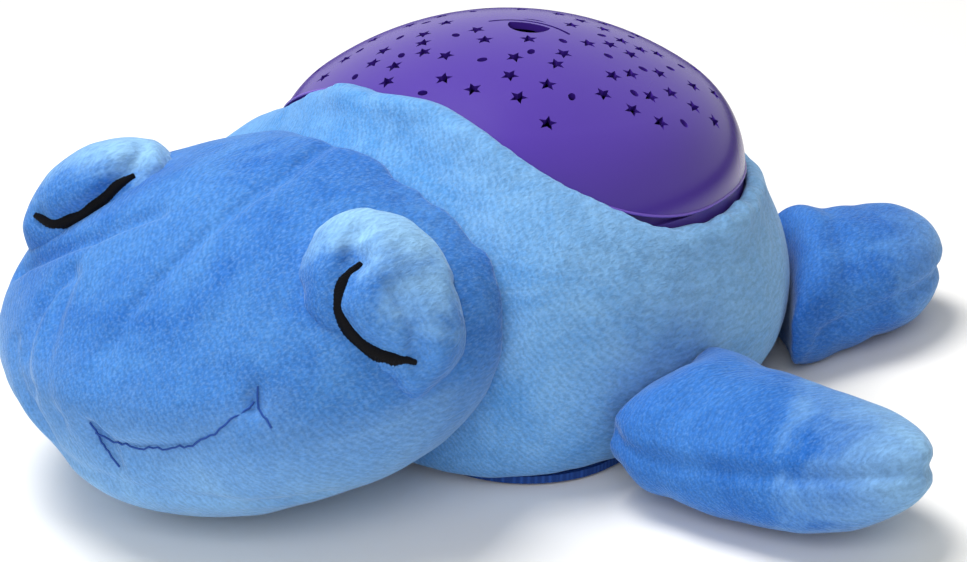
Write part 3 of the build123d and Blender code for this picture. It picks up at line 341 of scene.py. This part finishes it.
def stuffed_form(name, nodes, size, swell, pressure, cap, extra=None):
    """Takes a cover with its fill as one form and rounds it out as fibre does, under a little pressure."""
    union = bmesh.new()
    for node in nodes:
        union.from_mesh(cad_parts[node].data)
    if extra:
        union.from_mesh(extra)
    mesh = bpy.data.meshes.new(name)
    union.to_mesh(mesh)
    union.free()
    form = bpy.data.objects.new(name, mesh)
    scene.collection.objects.link(form)
    even_mesh(form, 0.0045, 1)
    start, _ = points_of(form)
    cloth = form.modifiers.new("fill", "CLOTH")
    cloth.settings.quality = 4
    cloth.settings.mass = 0.3
    cloth.settings.tension_stiffness = 8
    cloth.settings.compression_stiffness = 8
    cloth.settings.bending_stiffness = 0.8
    cloth.settings.use_pressure = True
    cloth.settings.uniform_pressure_force = pressure
    cloth.settings.effector_weights.gravity = 0
    for number in range(1, 21):
        scene.frame_set(number)
    settle(form)
    scene.frame_set(1)
    swelled, _ = points_of(form)
    step = swelled - start
    reach = np.linalg.norm(step, axis=1, keepdims=True)
    move_points(form, start + step * np.minimum(1, cap / np.maximum(reach, 1e-9)))
    even_mesh(form, size, 4)
    places, normals = points_of(form)
    move_points(form, places + normals * swell)
    return form


def rub_down(form, share, rounds):
    """Evens out small bites in a form where a share says."""
    group = form.vertex_groups.new(name="rub")
    for number in np.nonzero(share > 0.02)[0]:
        group.add([int(number)], float(share[number]), "REPLACE")
    rub = form.modifiers.new("rub", "SMOOTH")
    rub.vertex_group = "rub"
    rub.factor = 0.5
    rub.iterations = rounds
    settle(form)
    form.vertex_groups.clear()


def press(form, centre, spread, shift):
    """Moves a soft patch of a form, most at its centre, as tight sewing or a hand does; millimetres."""
    places, _ = points_of(form)
    away = (places * 1000 - np.array(centre, float)) / np.array(spread, float)
    share = np.exp(-(away**2).sum(axis=1))
    move_points(form, places + share[:, None] * np.array(shift, float) / 1000)


def crease(form, line, depth, width):
    """Draws a form in along a line of points on it, as a seam or fold does; a negative depth raises it."""
    places, normals = points_of(form)
    spots = np.array(line, float) / 1000
    near = np.full(len(places), 1e9)
    for a, b in zip(spots[:-1], spots[1:]):
        along = b - a
        share = np.clip(((places - a) @ along) / (along @ along), 0, 1)
        near = np.minimum(near, np.linalg.norm(places - a - share[:, None] * along, axis=1))
    move_points(form, places - normals * (depth * np.exp(-((near / width) ** 2)))[:, None])


def surface_of(form):
    """A form's surface, to find the nearest spot on."""
    return BVHTree.FromPolygons([v.co for v in form.data.vertices], [p.vertices for p in form.data.polygons])


def keep_off(form, other, gap):
    """Pushes a form's points out of another closed form, to a gap from its surface."""
    surface = surface_of(other)
    places, _ = points_of(form)
    for number, place in enumerate(places):
        spot, normal, _, _ = surface.find_nearest(Vector(place), 0.03)
        if spot is not None and (Vector(place) - spot).dot(normal) < gap:
            places[number] = spot + normal * gap
    move_points(form, places)


def let_in(form, other, depth, reach):
    """Sinks the foot of a form into another it is sewn to, so that the two meet in a clean line."""
    surface = surface_of(other)
    places, _ = points_of(form)
    for number, place in enumerate(places):
        spot, normal, _, _ = surface.find_nearest(Vector(place), 0.03)
        if spot is not None:
            share = min(1, max(0, 1 - (Vector(place) - spot).dot(normal) / reach))
            places[number] -= np.array(normal) * depth * share
    move_points(form, places)


def nap_lumps(form, height, size_mm):
    """Raises and lowers a form a little, as brushed pile and lumpy fill do."""
    places, normals = points_of(form)
    lumps = np.array([noise.noise(Vector(p) * (1000 / size_mm)) for p in places])
    move_points(form, places + normals * (height * lumps)[:, None])


def stand_on_table(form, low):
    """Flattens what would reach below the table."""
    places, _ = points_of(form)
    places[:, 2] = np.maximum(places[:, 2], low)
    move_points(form, places)


def finish_plush(form, material):
    """Last step of a plush form: one subdivision, smooth shading and its velour."""
    form.data.materials.clear()
    form.data.materials.append(material)
    form.data.polygons.foreach_set("use_smooth", [True] * len(form.data.polygons))
    finer = form.modifiers.new("finer", "SUBSURF")
    finer.levels = 1
    finer.render_levels = 1


def keep_clear_of_housing(form):
    """Holds a form's points outside the dome and the bowl."""
    places, _ = points_of(form)
    span = np.hypot(places[:, 0], places[:, 1])
    height = places[:, 2]
    wall = 0.0645 + (0.0805 - 0.0645) * np.clip((height - 0.004) / 0.058, 0, 1)
    least = np.where(height > rim_height, dome_reach(height) + 0.0005, wall)
    inside = (span < least) & (height < rim_height + dome_rise)
    places[inside, :2] *= (least[inside] / np.maximum(span[inside], 1e-6))[:, None]
    move_points(form, places)


def collar_roll(radius, below):
    """The turned-in edge of the plush: a soft roll that lies on the dome a little below its lip."""
    roll = bpy.data.meshes.new("collar_roll")
    rings = []
    for x, y, z in lip_line:
        span = math.hypot(x, y)
        on_cap = z > cap_middle + (rim_height - cap_middle) * cap_radius / (cap_radius - dome_shoulder)
        centre = (0, cap_middle) if on_cap else (shoulder_middle, rim_height)
        lean = math.atan2(z - centre[1], span - centre[0])
        away = span + radius * math.cos(lean) + (radius + below) * math.sin(lean)
        height = z + radius * math.sin(lean) - (radius + below) * math.cos(lean)
        for step in range(10):
            angle = math.tau * step / 10
            reach = (away + radius * math.cos(angle)) / span
            rings.append((x * reach, y * reach, height + radius * math.sin(angle)))
    count = len(lip_line)
    faces = []
    for ring in range(count):
        after = (ring + 1) % count
        for step in range(10):
            beside = (step + 1) % 10
            faces.append((ring * 10 + step, after * 10 + step, after * 10 + beside, ring * 10 + beside))
    roll.from_pydata(rings, [], faces)
    return roll


body_plush = stuffed_form("body_plush", ("body_cover", "body_stuffing"), 0.0024, 0.0006, 2.0, 0.002,
                          extra=collar_roll(0.005, 0.002))
places, _ = points_of(body_plush)
away = np.hypot(places[:, 0], places[:, 1]) - dome_reach(places[:, 2])
collar_breadth, collar_foot = 0.016, 0.05
rub_down(body_plush, np.exp(-((away / collar_breadth) ** 2)) * (places[:, 2] > collar_foot), 10)
nap_lumps(body_plush, 0.0004, 9)
nap_lumps(body_plush, 0.0012, 40)
far_shoulder = dict(centre=(-48, -66, 100), spread=(30, 30, 22), shift=(2, 2, -7))
press(body_plush, **far_shoulder)
neck_seam = [(20, -76, 98), (54, -78, 85), (66, -80, 75), (72, -82, 66), (76, -84, 56)]
crease(body_plush, neck_seam, 0.0012, 0.004)
places, _ = points_of(body_plush)
span = np.hypot(places[:, 0], places[:, 1])
snug = np.exp(-(((span - dome_reach(places[:, 2])) / 0.010) ** 2)) * np.clip((places[:, 2] - 0.045) / 0.015, 0, 1)
drawn_in, drawn_up = 0.0035, 0.0015
places[:, :2] *= (1 - drawn_in * snug / span)[:, None]
places[:, 2] += drawn_up * snug
move_points(body_plush, places)
stand_on_table(body_plush, 0.003)
keep_clear_of_housing(body_plush)
# The body's velour turns paler toward its top, its left side and its back: painted light.
finish_plush(body_plush, velour("azure velour, brushed back", "#4E8CCC", "#6AA0D8", "#A6CBEC", "#82B2DE",
                                (0.6, 0.45, 0.6), 30, 95, (0.0, 0.0, 0.5)))
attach(body_plush, "turtle")
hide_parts("body_cover", "body_stuffing")

# Belly panel
# A flat woven panel sewn under the body round the foot of the bowl, navy and darker than the plush; part of that
# darkness is painted shade under the body.


def woven_panel(name, dark, light, thread_mm):
    """Plain-woven polyester: threads over and under, lighter on the crowns, drawn at twice their spacing to show."""
    material, tree, place = empty_material(name)
    warp = add_node(tree, "ShaderNodeTexWave", {"Vector": place, "Scale": 1000 / (thread_mm * 6.28),
                                                "Distortion": 0.4}, bands_direction="X")
    weft = add_node(tree, "ShaderNodeTexWave", {"Vector": place, "Scale": 1000 / (thread_mm * 6.28),
                                                "Distortion": 0.4}, bands_direction="Y")
    cloth = add_node(tree, "ShaderNodeMath", {0: warp.outputs["Fac"], 1: weft.outputs["Fac"]}, operation="MULTIPLY")
    colour = add_node(tree, "ShaderNodeMix", {"Factor": cloth.outputs["Value"], "A": linear(dark),
                                              "B": linear(light)}, data_type="RGBA")
    bump = add_node(tree, "ShaderNodeBump", {"Height": cloth.outputs["Value"], "Strength": 0.4, "Distance": 0.0003})
    shader = add_node(tree, "ShaderNodeBsdfPrincipled", {
        "Base Color": colour.outputs["Result"], "Roughness": 0.9, "Specular IOR Level": 0.2,
        "Normal": bump.outputs["Normal"]})
    add_node(tree, "ShaderNodeOutputMaterial", {"Surface": shader.outputs["BSDF"]})
    return material


belly_cloth = bpy.data.objects.new("belly_cloth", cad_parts["belly_panel"].data.copy())
belly_cloth.data.materials.clear()
belly_cloth.data.materials.append(woven_panel("navy woven lining with painted shade", "#22407F", "#3158A3", 0.8))
scene.collection.objects.link(belly_cloth)
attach(belly_cloth, "turtle")
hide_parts("belly_panel")

# Head
# A big soft head, chin on the table, sewn to the body all round. One seam runs from neck to nose, and
# the cover is drawn in under the chin, at the corners of the mouth and in front of the far eye.
head_plush = stuffed_form("head_plush", ("head_cover", "head_stuffing"), 0.002, 0.0006, 2.0, 0.002)
nap_lumps(head_plush, 0.0004, 9)
nap_lumps(head_plush, 0.0014, 34)
head_presses = {
    "far jowl": ((-46, -178, 12), (42, 40, 22), (14, 5, 6)),
    "muzzle": ((22, -189, 49), (40, 18, 10), (0, -4, 1)),
    "near cheek": ((58, -172, 40), (14, 16, 12), (3, -2, 0)),
    "lower lip": ((26, -186, 30), (36, 18, 8), (0, 2, 0)),
}
for centre, spread, shift in head_presses.values():
    press(head_plush, centre, spread, shift)
head_folds = {
    "centre seam": ([(4, -84, 100), (14, -115, 98), (14.5, -140, 91), (14, -151, 86), (12.8, -163, 79),
                     (11.3, -174, 71), (11.3, -183, 61), (12.5, -190, 52)], 0.0020, 0.0022),
    "below far eye": ([(-58, -163, 62), (-37, -162, 73), (-23, -158, 80), (-8, -147, 88)], 0.0038, 0.0030),
    "far cheek dart": ([(-23, -169, 72), (-25.4, -175, 66), (-25.5, -180, 60), (-22, -187, 52), (-14, -192, 44)],
                       0.0038, 0.0028),
    "beside nose": ([(-19, -171, 71), (-15, -180, 63), (-9, -188, 55), (-4, -192, 48), (0, -193, 40)],
                    0.0028, 0.0026),
    "far jowl": ([(-30, -184, 52), (-22, -190, 44), (-14, -193, 36), (-8, -193, 28)], 0.0028, 0.0028),
    "near cheek hollow": ([(38, -168, 72), (44, -173, 62), (50, -172, 56)], 0.0012, 0.0050),
    "chin seam": ([(-40, -180, 30), (-18, -190, 25), (12, -192, 24.5), (30, -186, 23.4), (44.6, -177, 22.5),
                   (56, -164, 21.6), (64, -150, 20)], 0.0016, 0.0020),
}
for line, depth, width in head_folds.values():
    crease(head_plush, line, depth, width)
mouth_line = [(15, -193, 39.6), (17.6, -192.6, 38), (22, -192, 36.9), (27, -190.5, 37), (33.4, -187.8, 37.5),
              (39.3, -184.7, 39.5), (45, -181, 41.9), (52, -175, 47.1), (55.9, -169.7, 52.9)]
mouth_corner_line = [(55.6, -167, 57.2), (56.1, -169.3, 52.9), (58.4, -169, 49.5), (60.6, -168, 46.4)]
mouth_middle_line = [(12.5, -193, 41.6), (15, -193, 40.2), (17.6, -192.6, 38), (19.9, -192.3, 33.9), (20.7, -191.8, 30)]
crease(head_plush, mouth_line, 0.0024, 0.0030)
crease(head_plush, mouth_corner_line, 0.0020, 0.0024)
crease(head_plush, mouth_middle_line, 0.0030, 0.0024)
let_in(head_plush, body_plush, 0.004, 0.004)
stand_on_table(head_plush, 0.0006)
# The head's velour turns paler toward the chin: painted light.
finish_plush(head_plush, velour("azure velour, brushed forward", "#2E69B8", "#4A83C8", "#92BAE4", "#80AFDC",
                                (0.0, 0.0, 1.0), 58, 6, (0.0, 0.0, 0.15)))
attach(head_plush, "turtle")
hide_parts("head_cover", "head_stuffing")

# Eye mounds
# Stuffed pillows let into the head above the closed eyes, drawn in along the stitch of the eyelid,
# with a soft lip in front of it and the lid bulging behind.


def laid_line(form, line, step):
    """Evenly spaced spots along a smooth line laid on a form, with the way the surface faces at each."""
    surface = surface_of(form)
    marks = np.array(line, float) / 1000
    gone = np.concatenate(([0], np.cumsum(np.linalg.norm(np.diff(marks, axis=0), axis=1))))
    even = np.linspace(0, gone[-1], int(gone[-1] / step) + 1)
    run = np.stack([np.interp(even, gone, marks[:, axis]) for axis in range(3)], axis=1)
    span = max(1, min(len(run) // 4, round(0.006 / step)))
    window = np.ones(2 * span + 1) / (2 * span + 1)

    def evened(rows):
        ends = np.pad(rows, ((span, span), (0, 0)), mode="reflect", reflect_type="odd")
        return np.stack([np.convolve(ends[:, axis], window, "valid") for axis in range(3)], axis=1)

    run = evened(run)
    facing = np.zeros_like(run)
    for number, spot in enumerate(run):
        on, normal, _, _ = surface.find_nearest(Vector(spot))
        run[number] = on
        facing[number] = normal
    facing = evened(facing)
    return evened(run), facing / np.linalg.norm(facing, axis=1, keepdims=True)


def satin_stitch(name, run, facing, width, sink, material):
    """Satin stitch: threads laid side by side across a line, crowned, their ends drawn into the pile."""
    curve = bpy.data.curves.new(name, "CURVE")
    curve.dimensions = "3D"
    curve.bevel_depth = 0.00036
    curve.bevel_resolution = 1
    along = np.gradient(run, axis=0)
    across = np.cross(facing, along)
    across /= np.linalg.norm(across, axis=1, keepdims=True)
    for number in range(len(run)):
        end = min(number, len(run) - 1 - number) * 0.0005 / 0.007
        half = width / 2 * min(1, 0.4 + 0.6 * end) * (1 + 0.07 * math.sin(number * 2.3))
        spline = curve.splines.new("POLY")
        spline.points.add(6)
        for point, share in zip(spline.points, np.linspace(-1, 1, 7)):
            place = run[number] + across[number] * half * share + facing[number] * (0.0013 * (1 - share**2) - sink)
            point.co = (*place, 1)
    curve.materials.append(material)
    made = bpy.data.objects.new(name, curve)
    scene.collection.objects.link(made)
    return made


def thread(name, dark, light):
    """Twisted polyester thread: a soft gloss that runs along the twist."""
    material, tree, place = empty_material(name)
    twist = add_node(tree, "ShaderNodeTexNoise", {"Vector": place, "Scale": 1000 / 0.5, "Detail": 2.0})
    colour = add_node(tree, "ShaderNodeMix", {"Factor": twist.outputs["Fac"], "A": linear(dark), "B": linear(light)},
                      data_type="RGBA")
    shader = add_node(tree, "ShaderNodeBsdfPrincipled", {
        "Base Color": colour.outputs["Result"], "Roughness": 0.7, "Specular IOR Level": 0.2})
    add_node(tree, "ShaderNodeOutputMaterial", {"Surface": shader.outputs["BSDF"]})
    return material


black_thread = thread("black embroidery thread", "#040407", "#0B0B10")
eye_lines = {
    "left": [(62.0, -134.7, 88.2), (62.4, -140.3, 84.5), (63.1, -143.1, 81.6), (64.9, -146.5, 75.6),
             (67.8, -146.9, 71.4), (70.8, -146.0, 68.4), (74.4, -143.9, 65.4), (77.8, -140.6, 62.9),
             (82.7, -131.2, 62.3)],
    "right": [(-31.2, -137.0, 94.7), (-30.7, -143.3, 90.1), (-32.8, -149.3, 85.4), (-38.2, -155.2, 80.2),
              (-46.0, -158.7, 77.6), (-53.0, -159.0, 79.6)],
}
eye_folds = {
    "left": [[(82.6, -131.0, 63.0), (80.6, -129.3, 69.6), (77.7, -129.5, 74.9), (73.4, -130.9, 80.2)],
             [(62.0, -134.7, 88.2), (58.0, -131.4, 91.4), (56.6, -127.6, 93.0)]],
    "right": [[(-31.2, -137.0, 94.7), (-33.0, -131.0, 98.0), (-37.0, -126.0, 100.0)]],
}
pillow_presses = {
    "left": (),
    "right": (((-86, -140, 82), (24, 34, 28), (9, 4, -3)), ((-58, -125, 106), (34, 34, 14), (0, 0, -4))),
}
# The pillows' velour turns paler toward their tops and backs: painted highlight.
eye_velour = velour("azure velour, eye pillows", "#3670BE", "#5088CE", "#96BFE6", "#8CBAE2", (0.0, 0.5, 1.0), 12, 34,
                    (0.4, 0.0, 0.9))
for side, line in eye_lines.items():
    pillow = stuffed_form("eye_pillow_" + side, ("eye_mound_" + side,), 0.0016, 0.0008, 2.5, 0.004)
    for centre, spread, shift in pillow_presses[side]:
        press(pillow, centre, spread, shift)
    let_in(pillow, head_plush, 0.005, 0.006)
    nap_lumps(pillow, 0.0004, 8)
    nap_lumps(pillow, 0.0010, 22)
    run, facing = laid_line(pillow, line, 0.0005)
    sewn = [tuple(spot * 1000) for spot in run[::6]]
    lip_rise, lip_width, stitch_depth, stitch_width = 0.0012, 0.0120, 0.0044, 0.0048
    crease(pillow, sewn, -lip_rise, lip_width)
    crease(pillow, sewn, stitch_depth, stitch_width)
    for fold in eye_folds[side]:
        crease(pillow, fold, 0.0026, 0.0030)
    run, facing = laid_line(pillow, line, 0.0005)
    finish_plush(pillow, eye_velour)
    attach(pillow, "turtle")
    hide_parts("eye_mound_" + side)
    lid = satin_stitch("eyelid_stitch_" + side, run, facing, 0.0040, 0.0005, black_thread)
    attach(lid, "turtle")
    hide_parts("eye_stitch_" + side)

# Mouth
# A single run of dark blue thread, pulled into the pile, with a short bar at its corner and its middle.
mouth_blue = thread("dark blue thread", "#22428A", "#2E54A0")
for name, line in (("mouth_thread", mouth_line), ("mouth_corner_thread", mouth_corner_line),
                   ("mouth_middle_thread", mouth_middle_line)):
    run, facing = laid_line(head_plush, line, 0.0015)
    curve = bpy.data.curves.new(name, "CURVE")
    curve.dimensions = "3D"
    curve.bevel_depth = 0.0003
    curve.bevel_resolution = 2
    spline = curve.splines.new("POLY")
    spline.points.add(len(run) - 1)
    for number, point in enumerate(spline.points):
        waver = 0.0004 * math.sin(number * 1.1) + 0.0003 * math.sin(number * 2.7 + 1)
        point.co = (*(run[number] + facing[number] * 0.0008 + np.array((0, 0, waver))), 1)
    curve.materials.append(mouth_blue)
    seam = bpy.data.objects.new(name, curve)
    scene.collection.objects.link(seam)
    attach(seam, "turtle")

# Flippers
# Two panels of velour sewn round their edge and stuffed plump, then sewn to the body along a broad root.
# The seam draws in a line round the edge, a little below the middle.


def plump_root(form, root, outward, gone, mid_height, lower, thick, broad, behind, seat, hug):
    """Fills a flipper out where it is sewn on, so that it meets the body broad and round, and bends the
    front of its root round to the body. Middle height, lowering, thickness and breadth are given at distances
    gone from the root, in millimetres; behind is the share of the breadth that its rear side gets."""
    places, _ = points_of(form)
    aside = np.array((-outward[1], outward[0], 0.0))
    offset = places - np.array(root)
    out = offset @ np.array(outward)
    across = offset @ aside
    away = out * 1000
    middle = np.interp(away, gone, mid_height) / 1000
    wide = np.interp(away, gone, broad)
    across *= np.where(offset[:, 1] < 0, wide, 1 + (wide - 1) * behind)
    height = middle + (places[:, 2] - middle) * np.interp(away, gone, thick) - np.interp(away, gone, lower) / 1000
    out = np.maximum(out, (seat + 0.1 * away) / 1000)
    out -= hug * np.clip((np.abs(across) - 0.014) / 0.02, 0, 1) ** 2 * np.clip(1 - away / 34, 0, 1)
    flat = np.array((root[0], root[1], 0.0)) + out[:, None] * np.array(outward) + across[:, None] * aside
    flat[:, 2] = height
    move_points(form, flat)


edge_seams = {
    "front": [(94, -78, 26), (104, -78, 22), (125, -70, 21.5), (140, -69, 24), (155, -67, 26), (177, -55, 28),
              (187, -40, 27), (190, -25, 25), (186, -8, 22)],
    "rear": [(82, 44, 15), (90, 56, 16), (97, 70, 18), (102, 86, 20), (105, 102, 21), (100, 120, 21), (84, 136, 20)],
}
# The flipper velours are darker copies of the azure velour, painted shade against the light on their tops, and turn
# paler toward the tips of those on the turtle's left: painted light.
flipper_velours = {
    "front": velour("azure velour, front flippers", "#2862B2", "#3D77C2", "#82AEDE", "#8AB6DC",
                    (0.85, 0.5, 0.0), 104, 148, (0.0, 0.0, 1.2)),
    "rear": velour("azure velour, rear flippers", "#2A61B2", "#4079C4", "#82AEDE", "#6C9DD6",
                   (0.7, 0.7, 0.0), 130, 170, (0.0, 0.0, 0.3)),
}
flipper_fits = {
    "front": dict(root=(0.0920, -0.0500, 0.0), outward=(1.0, 0.0, 0.0), gone=(0, 6, 13, 29, 50),
                  mid_height=(25.7, 25.5, 24.0, 20.6, 19.6), lower=(5, 4, 2, 0, 0), thick=(2.5, 2.7, 1.75, 1.1, 1.0),
                  broad=(2.3, 2.1, 1.6, 1.14, 1.0), behind=0.35, seat=6.0, hug=0.012),
    "rear": dict(root=(0.0645, 0.0580, 0.0), outward=(0.71934, 0.694658, 0.0), gone=(0, 6, 15, 28, 41),
                 mid_height=(26.0, 25.8, 24.0, 20.4, 19.1), lower=(8, 8, 7, 3, 0), thick=(4.2, 4.5, 2.8, 1.5, 1.15),
                 broad=(2.0, 1.9, 1.55, 1.16, 1.05), behind=0.8, seat=8.0, hug=0.008),
}
for end, fit in flipper_fits.items():
    for side, sign in (("left", 1), ("right", -1)):
        flipper = stuffed_form(f"{end}_flipper_plush_{side}",
                               (f"{end}_flipper_{side}", f"{end}_flipper_stuffing_{side}"), 0.002, 0.0006, 2.0, 0.002)
        turned = dict(fit, root=(fit["root"][0] * sign, *fit["root"][1:]),
                      outward=(fit["outward"][0] * sign, *fit["outward"][1:]))
        plump_root(flipper, **turned)
        even_mesh(flipper, 0.002, 3)
        nap_lumps(flipper, 0.0004, 9)
        nap_lumps(flipper, 0.0012, 30)
        run, _ = laid_line(flipper, [(x * sign, y, z) for x, y, z in edge_seams[end]], 0.002)
        crease(flipper, [tuple(spot * 1000) for spot in run], 0.0026, 0.0026)
        stand_on_table(flipper, 0.0006)
        keep_off(flipper, body_plush, 0.0004)
        finish_plush(flipper, flipper_velours[end])
        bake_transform(flipper)
        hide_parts(f"{end}_flipper_{side}", f"{end}_flipper_stuffing_{side}")

# Table and light
# A sweep of white card, lit by a soft panel high on the turtle's right and a broad one from its front left.
# Away from the turtle the card is plain white to the camera, and so is the room.
table_mesh = bpy.data.meshes.new("table")
table_mesh.from_pydata([(-4, -4, -0.0002), (4, -4, -0.0002), (4, 4, -0.0002), (-4, 4, -0.0002)], [], [(0, 1, 2, 3)])
table = bpy.data.objects.new("table", table_mesh)
scene.collection.objects.link(table)
material, tree, place = empty_material("white sweep")
mottle = add_node(tree, "ShaderNodeTexNoise", {"Vector": place, "Scale": 1000 / 200})
shade = add_node(tree, "ShaderNodeMix", {"Factor": mottle.outputs["Fac"], "A": linear("#F7F5F0"),
                                         "B": linear("#FAF8F4")}, data_type="RGBA")
paper = add_node(tree, "ShaderNodeBsdfDiffuse", {"Color": shade.outputs["Result"]})
far = add_node(tree, "ShaderNodeVectorMath", {0: place}, operation="LENGTH")
fade = add_node(tree, "ShaderNodeMapRange", {"Value": far.outputs["Value"], "From Min": 0.32, "From Max": 0.75},
                interpolation_type="SMOOTHSTEP")
path = add_node(tree, "ShaderNodeLightPath", {})
white = add_node(tree, "ShaderNodeEmission", {"Color": (1, 1, 1, 1), "Strength": path.outputs["Is Camera Ray"]})
sweep = add_node(tree, "ShaderNodeMixShader", {0: fade.outputs["Result"], 1: paper.outputs["BSDF"],
                                               2: white.outputs["Emission"]})
add_node(tree, "ShaderNodeOutputMaterial", {"Surface": sweep.outputs["Shader"]})
table_mesh.materials.append(material)

world = bpy.data.worlds.new("white room")
scene.world = world
world.use_nodes = True
tree = world.node_tree
tree.nodes.clear()
path = add_node(tree, "ShaderNodeLightPath", {})
gleam = add_node(tree, "ShaderNodeMath", {0: path.outputs["Is Glossy Ray"], 1: 0.6}, operation="MULTIPLY")
seen = add_node(tree, "ShaderNodeMath", {0: path.outputs["Is Camera Ray"], 1: gleam.outputs["Value"]},
                operation="MAXIMUM")
seen = add_node(tree, "ShaderNodeMath", {0: seen.outputs["Value"], 1: path.outputs["Is Transmission Ray"]},
                operation="MAXIMUM")
level = add_node(tree, "ShaderNodeMapRange", {"Value": seen.outputs["Value"], "To Min": 0.32, "To Max": 1.0})
sky = add_node(tree, "ShaderNodeBackground", {"Color": (1, 1, 1, 1), "Strength": level.outputs["Result"]})
add_node(tree, "ShaderNodeOutputWorld", {"Surface": sky.outputs["Background"]})

for name, spot, size, power in (("overhead panel", (-0.42, -0.16, 1.25), 0.7, 18.5),
                                ("front panel", (0.7, -1.2, 0.8), 1.2, 11.0)):
    lamp = bpy.data.lights.new(name, "AREA")
    lamp.shape = "SQUARE"
    lamp.size = size
    lamp.energy = power
    holder = bpy.data.objects.new(name, lamp)
    holder.location = spot
    holder.rotation_mode = "QUATERNION"
    holder.rotation_quaternion = (Vector((0, -0.02, 0.05)) - Vector(spot)).to_track_quat("-Z", "Y")
    holder.visible_glossy = False
    scene.collection.objects.link(holder)
